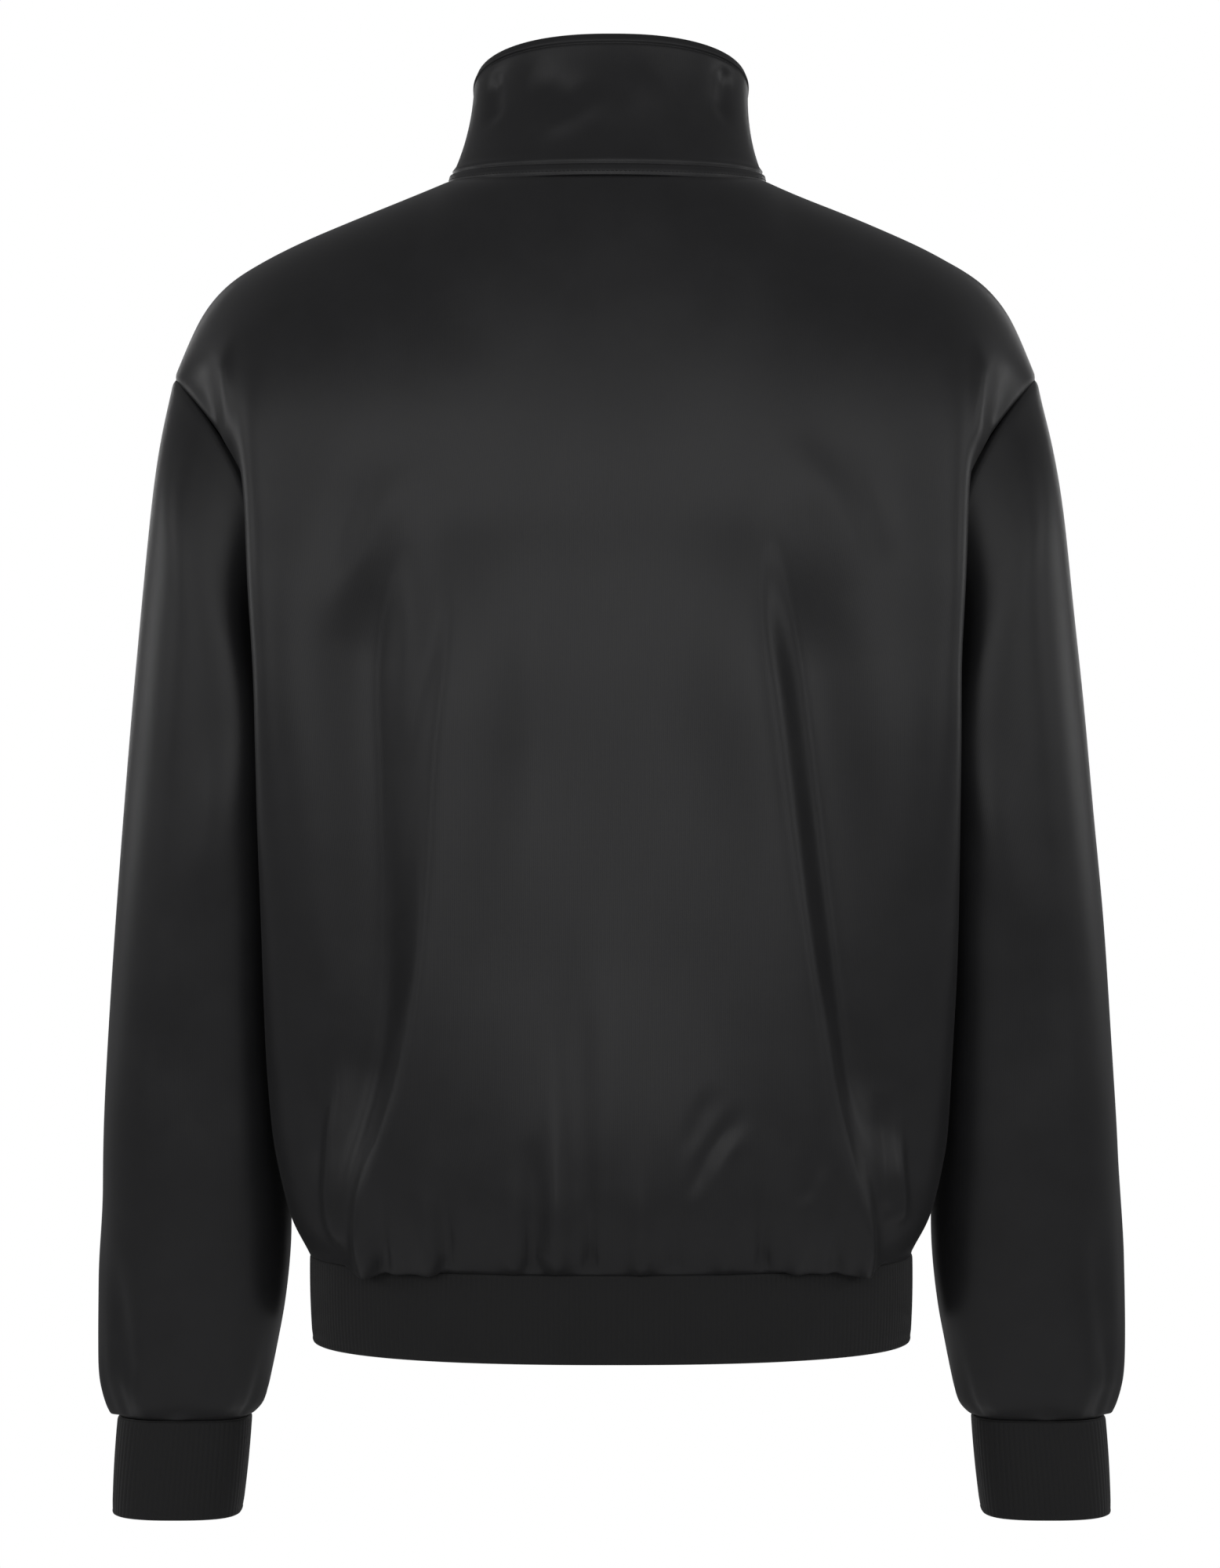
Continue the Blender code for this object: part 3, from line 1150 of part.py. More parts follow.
def lean_back(net):
    """A leaning net put upright again."""
    moved = net.copy()
    moved[..., 0] -= monotone(column(LEAN, "z"), column(LEAN, "shift"), net[..., 2])
    return moved


def lean_points(points):
    """A list of points shifted sideways as the jacket hangs."""
    return lean(points[None])[0]


def make_box(line, middle, collection):
    """The retainer box at the chain's foot, round the ends of both tapes."""
    wide, deep, tall = BOX_SIZE
    slot = TAPE_WALL / 2 + SEAM_GAP
    z = HEM_BOTTOM_Z + BOX_FOOT + tall / 2
    y, out = at_height(line, z)
    xs = (-wide / 2, -CHAIN_WIDTH / 2, CHAIN_WIDTH / 2, wide / 2)
    ys = (middle - deep / 2, middle - slot, middle + slot, middle + deep / 2)
    filled = {(i, j, 0) for i in range(3) for j in range(3) if not (j == 1 and i != 1)}
    points, faces = cells_mesh(xs, ys, (-tall / 2, tall / 2), filled)
    add_object("zip_box", lean_points(to_front(points, y, z, out)), faces, METAL, collection)


def make_stops(line, middle, top, collection):
    """A top stop on each tape's inner edge, in front of and beside it."""
    wide, deep, tall = STOP_SIZE
    z = top - STOP_DROP
    y, out = at_height(line, z)
    for name, side in (("zip_stop_left", 1.0), ("zip_stop_right", -1.0)):
        near = CHAIN_WIDTH / 2
        xs = sorted((side * (near + SEAM_GAP), side * (near + SEAM_GAP + wide)))
        front = middle - TAPE_WALL / 2 - SEAM_GAP
        points, faces = box_mesh(xs, (front - deep, front), (-tall / 2, tall / 2))
        world = to_front(points, y, z, out)
        add_object(name, lean_points(world), faces, METAL, collection)


def to_front(points, y, z, out):
    """From across, depth behind the cloth's outside and height along it, to the jacket's frame."""
    up = (-out[1], out[0]) if out[0] > 0 else (out[1], -out[0])
    moved = np.empty_like(points)
    moved[:, 0] = points[:, 0]
    moved[:, 1] = y - out[0] * points[:, 1] + up[0] * points[:, 2]
    moved[:, 2] = z - out[1] * points[:, 1] + up[1] * points[:, 2]
    return moved


def make_slider(line, middle, shift, collection):
    """The slider round the chain's top, its bridge, and the pull tab that hangs from the bridge."""
    wide, tall = SLIDER_SIZE
    slot = CHAIN_THICK / 2 + SEAM_GAP
    bridge_x, bridge_z = BRIDGE_SIZE
    face = middle - slot - PLATE
    xs = (-wide / 2, -SLIDER_POST / 2, -bridge_x / 2, bridge_x / 2, SLIDER_POST / 2, wide / 2)
    bridge_back = face - BRIDGE_GAP
    bridge_front = bridge_back - BRIDGE_THICK
    ys = (bridge_front, bridge_back, face, middle - slot, middle + slot, middle + slot + PLATE)
    post = bridge_z / 2 - BRIDGE_POST
    zs = (-tall / 2, -bridge_z / 2, -post, 0.0, post, bridge_z / 2, tall / 2)
    filled = {(i, j, k) for i in range(5) for j in (2, 4) for k in range(6)}
    filled |= {(i, 3, k) for i in (1, 2, 3) for k in (3, 4, 5)}
    filled |= {(2, 0, k) for k in (1, 2, 3, 4)}
    filled |= {(2, 1, k) for k in (1, 4)}
    points, faces = cells_mesh(xs, ys, zs, filled)
    y, out = at_height(line, SLIDER_Z)
    world = to_front(points, y, SLIDER_Z, out) + np.array([shift, 0, 0])
    add_object("zip_slider", world, faces, METAL, collection)

    axis_d = face - BRIDGE_GAP / 2
    half = PULL_BAR / 2
    bar_z = post - PULL_PLAY - PULL_BAR
    inner = PULL_WIDE / 2 - PULL_ARM
    xs = (-PULL_WIDE / 2, -inner, inner, PULL_WIDE / 2)
    ys = (axis_d - half, axis_d + half)
    zs = (bar_z - PULL_LONG, bar_z - PULL_HOLE, bar_z, bar_z + PULL_BAR)
    filled = {(i, 0, k) for i in range(3) for k in range(3) if not (i == 1 and k == 1)}
    points, faces = cells_mesh(xs, ys, zs, filled)
    hinge = np.array([[0.0, axis_d, bar_z + half]])
    world = to_front(points, y, SLIDER_Z, out) + np.array([shift, 0, 0])
    origin = (to_front(hinge, y, SLIDER_Z, out) + np.array([shift, 0, 0]))[0]
    add_object("zip_pull", world, faces, METAL, collection, tuple(float(v) for v in origin))


def main():
    """Build every piece of the jacket in one collection."""
    for obj in list(bpy.data.objects):
        bpy.data.objects.remove(obj, do_unlink=True)
    scene = bpy.context.scene
    collection = bpy.data.collections.new("track_jacket")
    scene.collection.children.link(collection)
    cutters = bpy.data.collections.new("cutters")
    scene.collection.children.link(cutters)
    folded, final = make_cloth(collection)
    make_hem(collection)
    make_cuff("cuff_left", 1.0, collection)
    make_cuff("cuff_right", -1.0, collection)
    make_zip(folded, final, collection)


main()
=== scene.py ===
"""Looks of the track jacket: satin tricot cloth with its folds and stitching, ribbed bands and front zip.

Frame: metres, +Z up. The wearer faces -Y and the wearer's left is +X. The origin is the middle of the
neck base. Every piece lies on the form of the CAD solid that it replaces.
"""
from __future__ import annotations

import logging
import math
from dataclasses import dataclass
from enum import Enum
from typing import NamedTuple

import bmesh
import bpy
import numpy as np
from mathutils import Matrix, Vector


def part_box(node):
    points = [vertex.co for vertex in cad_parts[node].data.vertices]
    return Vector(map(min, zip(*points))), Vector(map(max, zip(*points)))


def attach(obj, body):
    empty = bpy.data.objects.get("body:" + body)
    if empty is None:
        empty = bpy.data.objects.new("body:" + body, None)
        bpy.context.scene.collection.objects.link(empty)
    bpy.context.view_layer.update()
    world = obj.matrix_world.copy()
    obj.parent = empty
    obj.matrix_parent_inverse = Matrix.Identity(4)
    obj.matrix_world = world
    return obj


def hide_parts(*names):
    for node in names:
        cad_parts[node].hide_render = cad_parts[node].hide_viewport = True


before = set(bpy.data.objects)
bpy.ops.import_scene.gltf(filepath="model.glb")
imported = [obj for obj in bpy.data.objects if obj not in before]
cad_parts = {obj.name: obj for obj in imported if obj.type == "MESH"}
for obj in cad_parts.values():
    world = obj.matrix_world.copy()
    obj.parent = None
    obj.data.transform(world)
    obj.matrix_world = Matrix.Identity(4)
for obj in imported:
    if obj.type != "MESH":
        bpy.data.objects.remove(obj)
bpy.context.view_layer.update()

log = logging.getLogger("track_jacket")

# ---- sizes of the jacket -----------------------------------------------------------------------------
WALL = 0.0016  # the satin, with its brushed back
HEM_SEAM_Z = -0.596
HEM_BOTTOM_Z = -0.6440
UNDERARM_Z = -0.275
ARMHOLE_WIDE_Z = -0.185  # where the armhole is widest, front to back
ARMHOLE_BACK = (0.1930, 0.0660)  # x and y of the armhole at that height
ARMHOLE_FRONT = (0.1840, -0.0450)
FRONT_GAP = 0.0045  # from the centre line to a front edge
NECK_HALF = 0.0885  # to the high point of the shoulder
NECK_SIDE_Y = 0.0130
NECK_BACK = (0.0850, -0.0060)  # y and z at the centre back
NECK_FRONT = (-0.0850, -0.0560)  # y and z at the centre front
TIP_Y = 0.0060  # of the shoulder seam at the armhole
COLLAR_HALF = 0.0768  # of its top edge
COLLAR_BACK_Y = 0.0600
COLLAR_FRONT_Y = -0.0800
COLLAR_ROUNDNESS = 2.3
COLLAR_TALL = 0.080  # about, round the back
CUFF_DROP = 0.0546
HEM_TAPER = 0.992  # of the waistband's foot to its top
NECK_SHARE = 0.49  # of a half ring's length, taken by the columns that end at the neck
SAG = 0.55  # how far the pleats over the waistband hang down, for how far they stand out
SAG_REACH = 0.009  # over the seam
SEAM_DROP = 0.0014  # how far the body's edge is sewn over the waistband's top
SEAM_DROP_REACH = 0.0025
CORNER_COLUMN = 0.885  # share of the columns between the middle and the corner
RING_STEPS = 240  # of a half ring, up to its corner
SIDE_STEPS = 60  # from there to its edge
FINE_STEPS = 600  # of the shoulder seam, before it is divided into columns
COLLAR_STEPS = 400  # of a quarter of the collar's top
SPREAD = 1.2  # how late the upper rows draw in over the shoulder
CORNER_SHARE = 0.16  # of the columns, over which the corner at the neck is soft
CORNER_POWER = 3.0  # how late the upper rows take up that corner
FRONT_NECK_POWER = 1.25  # of the fall of the front neckline
LOWER_SPACING = 1.5  # of the rows between the hem and the underarm
SLANT_POWER = 3  # of the rows beside the armhole
ARMPIT_FLARE = 0.022  # how far the sleeve's first step swings out under the arm
FLARE_POWER = 1.5
CLOSE_ROWS = 16  # over the last ring of the sleeve
CUFF_STEPS = 721  # of a line round a cuff
SLEEVE_ROUNDNESS = 2.4
SLEEVE_INNER_ROUNDNESS = 2.8  # of the half beside the body

TINY = 1e-6  # no distance
MICROMETRES = 1e6  # in a metre

# ---- finer form --------------------------------------------------------------------------------------
SEAM_SINK = 0.0013  # how deep the cloth rolls in at a seam
SEAM_ROLL = 0.0017  # and over what distance
WELT_TALL = 0.0062  # band over the neck seam
WELT_RISE = 0.0010
EDGE_TALL = 0.0050  # turned top edge of the collar
EDGE_RISE = 0.0006
RIB_PITCH = 0.0028
RIB_RISE = 0.00028
RIB_ARCH = 0.8  # power of a rib's half wave
RIB_WALL = 0.0018
STITCH_PITCH = 0.0024
STITCH_LONG = 0.0018
THREAD = 0.00042
TAPE_WALL = 0.0006
TAPE_BEHIND = 0.0006  # the cloth
TAPE_IN = 0.0150  # from the centre line
TOOTH_PITCH = 0.0013
CHAIN_HALF = 0.0025
WAISTBAND_FLAT = (0.80, 0.052)  # width and length, laid flat
CUFF_FLAT = (0.185, 0.058)


class BodyRow(NamedTuple):
    """A level section of the body: halves, corner and middle, back and front, and the side seam."""

    z: float
    back_half: float
    back_corner_y: float
    back_y: float
    front_half: float
    front_corner_y: float
    front_y: float
    side_half: float
    roundness: float


BODY = (
    BodyRow(-0.596, 0.1673, 0.0120, 0.1180, 0.1675, -0.012, -0.1120, 0.1673, 2.35),
    BodyRow(-0.588, 0.1699, 0.0260, 0.1240, 0.1692, -0.030, -0.1180, 0.1688, 2.30),
    BodyRow(-0.575, 0.1758, 0.0370, 0.1315, 0.1722, -0.045, -0.1255, 0.1704, 2.24),
    BodyRow(-0.555, 0.1812, 0.0410, 0.1365, 0.1748, -0.055, -0.1300, 0.1716, 2.18),
    BodyRow(-0.527, 0.1866, 0.0450, 0.1375, 0.1770, -0.060, -0.1320, 0.1712, 2.16),
    BodyRow(-0.484, 0.1886, 0.0550, 0.1355, 0.1775, -0.062, -0.1325, 0.1700, 2.30),
    BodyRow(-0.420, 0.1890, 0.0740, 0.1320, 0.1780, -0.064, -0.1330, 0.1690, 2.60),
    BodyRow(-0.335, 0.1896, 0.0960, 0.1290, 0.1795, -0.066, -0.1340, 0.1695, 3.00),
    BodyRow(-0.296, 0.1903, 0.1020, 0.1277, 0.1803, -0.067, -0.1345, 0.1702, 3.20),
    BodyRow(-0.275, 0.1906, 0.1035, 0.1270, 0.1810, -0.068, -0.1345, 0.1755, 3.20),
    BodyRow(-0.225, 0.1930, 0.1035, 0.1250, 0.1830, -0.068, -0.1330, 0.1755, 3.20),
    BodyRow(-0.185, 0.1948, 0.0985, 0.1210, 0.1845, -0.066, -0.1290, 0.1755, 3.00),
)


# x and z of the shoulder seam
SHOULDER = (
    (0.0885, 0.0000), (0.1373, -0.0205), (0.1780, -0.0372), (0.2105, -0.0550), (0.2256, -0.0725),
    (0.2337, -0.0900), (0.2412, -0.1090),
)


class ClosingRow(NamedTuple):
    """How the upper rows close over the shoulder, by how far out they end."""

    out: float
    rise_back: float
    draw_back: float
    rise_front: float
    draw_front: float


CLOSING = (
    ClosingRow(0.00, 1.40, 1.35, 1.15, 1.20),
    ClosingRow(0.36, 0.90, 0.90, 1.00, 1.05),
    ClosingRow(0.70, 0.80, 0.86, 0.90, 1.00),
    ClosingRow(1.00, 0.78, 1.00, 0.80, 1.00),
)


class SleeveRow(NamedTuple):
    """A ring of the sleeve: outer and inner line, middle, half depth and how far its inner half lies back."""

    outer_z: float
    outer_x: float
    inner_z: float
    inner_x: float
    middle_y: float
    half_depth: float
    shear: float


SLEEVE = (
    SleeveRow(-0.1500, 0.2496, -0.2890, 0.1845, 0.0100, 0.0620, 0.12),
    SleeveRow(-0.2150, 0.2584, -0.3060, 0.1810, 0.0090, 0.0650, 0.24),
    SleeveRow(-0.2900, 0.2662, -0.3330, 0.1800, 0.0080, 0.0650, 0.30),
    SleeveRow(-0.3702, 0.2736, -0.3850, 0.1815, 0.0060, 0.0635, 0.28),
    SleeveRow(-0.4496, 0.2793, -0.4550, 0.1824, 0.0020, 0.0600, 0.18),
    SleeveRow(-0.5294, 0.2843, -0.5320, 0.1818, -0.0020, 0.0560, 0.10),
    SleeveRow(-0.5827, 0.2860, -0.5840, 0.1798, -0.0080, 0.0520, 0.08),
    SleeveRow(-0.6230, 0.2870, -0.6240, 0.1830, -0.0127, 0.0480, 0.05),
    SleeveRow(-0.6500, 0.2873, -0.6500, 0.1880, -0.0168, 0.0450, 0.03),
    SleeveRow(-0.6680, 0.2864, -0.6680, 0.1918, -0.0185, 0.0410, 0.02),
    SleeveRow(-0.6815, 0.2828, -0.6815, 0.1955, -0.0195, 0.0350, 0.01),
    SleeveRow(-0.6920, 0.2790, -0.6920, 0.2040, -0.0200, 0.0265, 0.00),
)


class CuffRow(NamedTuple):
    """A ring of the cuff, by its share of the drop."""

    drop: float
    outer_x: float
    inner_x: float
    half_depth: float


CUFF = (CuffRow(0.00, 0.2790, 0.2040, 0.0265), CuffRow(1.00, 0.2820, 0.2096, 0.0310))


# height, and how far the jacket hangs to one side there
LEAN = (
    (-0.650, -0.0009), (-0.500, -0.0002), (-0.350, 0.0008), (-0.200, 0.0020), (-0.100, 0.0026),
    (0.000, 0.0015), (0.060, -0.0008),
)
# y, and the height of the collar's top edge there
COLLAR_TOP = ((-0.085, 0.0240), (0.000, 0.0557), (0.062, 0.0755))
# share of the way from the middle of the back to a front edge, and the power of the collar's bow there
COLLAR_BOW = ((0.0, 1.5), (0.5, 2.2), (1.0, 1.2))


class Crease(NamedTuple):
    """A soft ridge, or a trough below 0, along a smooth line.

    On the body the line's points are x and z. On a sleeve they are shares of the way round and z, and on
    the collar shares of the way round and of the way up. `low` and `high` are its half widths on its two
    sides, right and left of its direction, and `fade0` and `fade1` the shares in which its ends die out.
    """

    line: tuple[tuple[float, float], ...]
    rise: float
    low: float
    high: float
    fade0: float = 0.35
    fade1: float = 0.35


class Gather(NamedTuple):
    """A small pleat over a gathered seam: where, how high (a groove below 0), how wide, how far up."""

    at: float
    rise: float
    width: float
    reach: float


BACK_CREASES = (
    # the two long ridges from the shoulder blades to the waistband, steep on their outer sides
    Crease(
        ((0.0778, -0.180), (0.0799, -0.252), (0.0882, -0.314), (0.0923, -0.376), (0.0985, -0.438),
         (0.1068, -0.488), (0.1170, -0.521), (0.1275, -0.554), (0.1310, -0.596)),
        0.0080, 0.040, 0.0105, 0.30, 0.0,
    ),
    Crease(
        ((-0.0774, -0.166), (-0.0795, -0.232), (-0.0878, -0.285), (-0.0940, -0.335), (-0.1002, -0.385),
         (-0.1064, -0.434), (-0.1126, -0.476), (-0.1209, -0.521), (-0.1271, -0.559), (-0.1325, -0.596)),
        0.0082, 0.0105, 0.040, 0.30, 0.0,
    ),
    # the thin crests on their lower halves
    Crease(
        ((0.0940, -0.376), (0.0998, -0.438), (0.1080, -0.488), (0.1180, -0.521), (0.1285, -0.554),
         (0.1320, -0.592)),
        0.0021, 0.0075, 0.0042, 0.45, 0.1,
    ),
    Crease(
        ((-0.0955, -0.340), (-0.1015, -0.385), (-0.1075, -0.434), (-0.1138, -0.476), (-0.1220, -0.521),
         (-0.1283, -0.559), (-0.1335, -0.592)),
        0.0020, 0.0042, 0.0075, 0.45, 0.1,
    ),
    # the valleys outside them
    Crease(
        ((0.1080, -0.175), (0.1200, -0.220), (0.1260, -0.275), (0.1255, -0.336), (0.1245, -0.395),
         (0.1270, -0.455), (0.1365, -0.514), (0.1440, -0.560)),
        -0.0130, 0.015, 0.028, 0.25, 0.20,
    ),
    Crease(
        ((-0.0940, -0.180), (-0.1020, -0.240), (-0.1100, -0.310), (-0.1180, -0.380), (-0.1260, -0.440),
         (-0.1345, -0.515), (-0.1400, -0.565)),
        -0.0130, 0.032, 0.015, 0.25, 0.20,
    ),
    # the recessed sides over the waistband
    Crease(
        ((0.1660, -0.400), (0.1670, -0.460), (0.1640, -0.520), (0.1580, -0.570)),
        -0.0052, 0.009, 0.012, 0.5, 0.25,
    ),
    Crease(
        ((-0.1680, -0.430), (-0.1690, -0.475), (-0.1660, -0.525), (-0.1600, -0.570)),
        -0.0042, 0.012, 0.008, 0.5, 0.25,
    ),
    # slanting ridges under the shoulder blades and the faint troughs above them
    Crease(
        ((0.098, -0.155), (0.110, -0.178), (0.129, -0.210), (0.150, -0.262)),
        0.0022, 0.016, 0.011, 0.4, 0.5,
    ),
    Crease(((0.120, -0.150), (0.137, -0.190), (0.153, -0.240)), -0.0013, 0.008, 0.010, 0.4, 0.4),
    Crease(
        ((-0.090, -0.152), (-0.108, -0.166), (-0.123, -0.186), (-0.132, -0.208), (-0.138, -0.235)),
        0.0023, 0.011, 0.016, 0.4, 0.5,
    ),
    Crease(((-0.129, -0.150), (-0.144, -0.185), (-0.151, -0.228)), -0.0013, 0.010, 0.008, 0.4, 0.4),
    # edges of the blouse beside the recessed sides
    Crease(
        ((0.1500, -0.470), (0.1490, -0.497), (0.1524, -0.530), (0.1490, -0.570), (0.1380, -0.588)),
        0.0036, 0.007, 0.0042, 0.45, 0.15,
    ),
    Crease(((-0.1600, -0.520), (-0.1565, -0.542), (-0.1545, -0.575)), 0.0034, 0.0042, 0.0065, 0.5, 0.2),
    Crease(((-0.1500, -0.500), (-0.1490, -0.540), (-0.1480, -0.570)), -0.0026, 0.005, 0.006, 0.3, 0.2),
    # shallow hangs in the middle
    Crease(((0.042, -0.185), (0.041, -0.300), (0.039, -0.400)), -0.0012, 0.013, 0.014, 0.4, 0.4),
    Crease(((0.018, -0.410), (0.018, -0.490), (0.019, -0.575)), -0.0012, 0.009, 0.012, 0.4, 0.2),
    Crease(((0.004, -0.420), (0.003, -0.500), (0.004, -0.580)), 0.0006, 0.010, 0.008, 0.4, 0.2),
    # slanting drags over the waistband
    Crease(
        ((-0.0704, -0.504), (-0.0563, -0.523), (-0.0484, -0.536), (-0.0389, -0.558)),
        -0.0015, 0.005, 0.004, 0.35, 0.3,
    ),
    Crease(((-0.0760, -0.512), (-0.0620, -0.530), (-0.0480, -0.556)), 0.0010, 0.006, 0.005, 0.4, 0.4),
    Crease(((-0.0588, -0.492), (-0.0480, -0.510), (-0.0381, -0.534)), -0.0010, 0.006, 0.005, 0.4, 0.4),
    Crease(((-0.1118, -0.524), (-0.1039, -0.544), (-0.0980, -0.560)), -0.0016, 0.005, 0.005, 0.4, 0.3),
    Crease(((0.0985, -0.530), (0.0903, -0.558), (0.0860, -0.585)), -0.0015, 0.005, 0.006, 0.4, 0.2),
    Crease(((0.0440, -0.520), (0.0380, -0.550), (0.0340, -0.585)), -0.0018, 0.005, 0.006, 0.4, 0.1),
    # the fold from the shoulder's end that hangs over the sleeve
    Crease(((0.206, -0.088), (0.2045, -0.120), (0.2010, -0.170)), 0.0032, 0.0035, 0.011, 0.30, 0.35),
    Crease(((-0.203, -0.090), (-0.2015, -0.120), (-0.1985, -0.170)), 0.0032, 0.011, 0.0035, 0.30, 0.35),
    Crease(((0.222, -0.100), (0.217, -0.125), (0.2120, -0.150)), -0.0022, 0.009, 0.008, 0.45, 0.35),
    Crease(((-0.219, -0.100), (-0.214, -0.125), (-0.2095, -0.150)), -0.0022, 0.008, 0.009, 0.45, 0.35),
)

FRONT_CREASES = (
    Crease(((0.070, -0.170), (0.076, -0.290), (0.088, -0.400)), 0.0050, 0.018, 0.014),
    Crease(((0.086, -0.360), (0.098, -0.480), (0.119, -0.596)), 0.0072, 0.017, 0.011, 0.35, 0.0),
    Crease(((0.118, -0.230), (0.123, -0.380), (0.125, -0.520)), -0.0058, 0.012, 0.014),
    Crease(((0.150, -0.470), (0.151, -0.540), (0.148, -0.596)), 0.0048, 0.013, 0.008, 0.35, 0.0),
    Crease(((-0.074, -0.150), (-0.076, -0.260), (-0.083, -0.380)), 0.0048, 0.014, 0.018),
    Crease(((-0.082, -0.340), (-0.096, -0.470), (-0.123, -0.596)), 0.0068, 0.011, 0.017, 0.35, 0.0),
    Crease(((-0.112, -0.250), (-0.122, -0.400), (-0.129, -0.540)), -0.0054, 0.014, 0.012),
    Crease(((-0.151, -0.480), (-0.152, -0.550), (-0.150, -0.596)), 0.0048, 0.008, 0.013, 0.35, 0.0),
    Crease(((0.040, -0.200), (0.035, -0.310), (0.033, -0.420)), -0.0024, 0.012, 0.014, 0.4, 0.4),
    Crease(((-0.036, -0.230), (-0.040, -0.350), (-0.041, -0.470)), -0.0026, 0.014, 0.012, 0.4, 0.4),
    Crease(((0.048, -0.500), (0.053, -0.530), (0.060, -0.562)), -0.0024, 0.008, 0.008, 0.4, 0.4),
    Crease(((-0.055, -0.480), (-0.058, -0.520), (-0.064, -0.562)), -0.0024, 0.008, 0.008, 0.4, 0.4),
)

BACK_GATHERS = (
    Gather(0.1290, 0.0048, 0.0047, 0.0147),
    Gather(0.1190, -0.0034, 0.0035, 0.0110),
    Gather(0.0960, 0.0039, 0.0055, 0.0129),
    Gather(0.0870, -0.0030, 0.0036, 0.0110),
    Gather(0.0520, 0.0035, 0.0062, 0.0129),
    Gather(0.0420, -0.0030, 0.0036, 0.0120),
    Gather(0.0290, 0.0062, 0.0066, 0.0230),
    Gather(0.0110, -0.0046, 0.0030, 0.0120),
    Gather(-0.0158, 0.0043, 0.0062, 0.0129),
    Gather(-0.0340, -0.0022, 0.0040, 0.0110),
    Gather(-0.0600, 0.0026, 0.0055, 0.0110),
    Gather(-0.0804, -0.0044, 0.0034, 0.0120),
    Gather(-0.0980, 0.0030, 0.0047, 0.0110),
    Gather(-0.1180, -0.0030, 0.0036, 0.0120),
    Gather(-0.1340, 0.0052, 0.0047, 0.0147),
)
FRONT_GATHERS = (
    Gather(0.0250, 0.0029, 0.0059, 0.0120),
    Gather(0.0450, -0.0040, 0.0047, 0.0120),
    Gather(0.0680, 0.0036, 0.0059, 0.0144),
    Gather(0.0900, -0.0043, 0.0047, 0.0120),
    Gather(0.1180, 0.0032, 0.0059, 0.0132),
    Gather(0.1380, -0.0036, 0.0051, 0.0108),
    Gather(-0.0220, -0.0036, 0.0047, 0.0120),
    Gather(-0.0430, 0.0032, 0.0059, 0.0144),
    Gather(-0.0660, -0.0043, 0.0047, 0.0120),
    Gather(-0.0930, 0.0029, 0.0059, 0.0120),
    Gather(-0.1120, -0.0040, 0.0047, 0.0132),
    Gather(-0.1360, 0.0032, 0.0059, 0.0120),
)

LEFT_SLEEVE_CREASES = (
    Crease(((0.10, -0.590), (0.13, -0.640), (0.17, -0.682)), -0.0032, 0.013, 0.011, 0.45, 0.25),
    Crease(((0.02, -0.560), (0.02, -0.630), (0.03, -0.692)), 0.0020, 0.008, 0.010, 0.40, 0.0),
    Crease(((0.24, -0.440), (0.26, -0.500), (0.30, -0.560)), -0.0030, 0.014, 0.016, 0.45, 0.45),
    Crease(((0.30, -0.300), (0.28, -0.360), (0.24, -0.420)), 0.0025, 0.014, 0.016, 0.45, 0.45),
    Crease(((0.80, -0.330), (0.77, -0.390), (0.72, -0.450)), -0.0035, 0.014, 0.016, 0.45, 0.45),
    Crease(((0.70, -0.480), (0.75, -0.520), (0.82, -0.560)), 0.0030, 0.013, 0.015, 0.45, 0.45),
    Crease(((0.78, -0.590), (0.75, -0.640), (0.70, -0.680)), -0.0035, 0.013, 0.013, 0.45, 0.25),
)
RIGHT_SLEEVE_CREASES = (
    Crease(((0.14, -0.560), (0.13, -0.620), (0.10, -0.675)), -0.0030, 0.013, 0.013, 0.45, 0.25),
    Crease(((0.02, -0.540), (0.02, -0.620), (0.02, -0.692)), 0.0020, 0.009, 0.009, 0.40, 0.0),
    Crease(((0.22, -0.400), (0.24, -0.470), (0.29, -0.540)), -0.0030, 0.016, 0.015, 0.45, 0.45),
    Crease(((0.31, -0.310), (0.29, -0.370), (0.25, -0.430)), 0.0022, 0.015, 0.014, 0.45, 0.45),
    Crease(((0.76, -0.350), (0.79, -0.410), (0.83, -0.470)), -0.0032, 0.015, 0.015, 0.45, 0.45),
    Crease(((0.84, -0.500), (0.79, -0.535), (0.72, -0.570)), 0.0030, 0.015, 0.013, 0.45, 0.45),
    Crease(((0.70, -0.580), (0.73, -0.630), (0.77, -0.680)), -0.0035, 0.013, 0.013, 0.45, 0.25),
)
SLEEVE_GATHERS = (
    Gather(0.04, 0.0016, 0.0060, 0.010),
    Gather(0.11, -0.0018, 0.0050, 0.010),
    Gather(0.17, 0.0018, 0.0060, 0.012),
    Gather(0.24, -0.0018, 0.0055, 0.010),
    Gather(0.33, 0.0016, 0.0060, 0.010),
    Gather(0.41, -0.0020, 0.0055, 0.009),
    Gather(0.47, 0.0014, 0.0060, 0.009),
    Gather(0.55, -0.0016, 0.0060, 0.010),
    Gather(0.63, 0.0016, 0.0060, 0.011),
    Gather(0.71, -0.0018, 0.0055, 0.010),
    Gather(0.80, 0.0016, 0.0065, 0.011),
    Gather(0.88, -0.0018, 0.0055, 0.010),
)

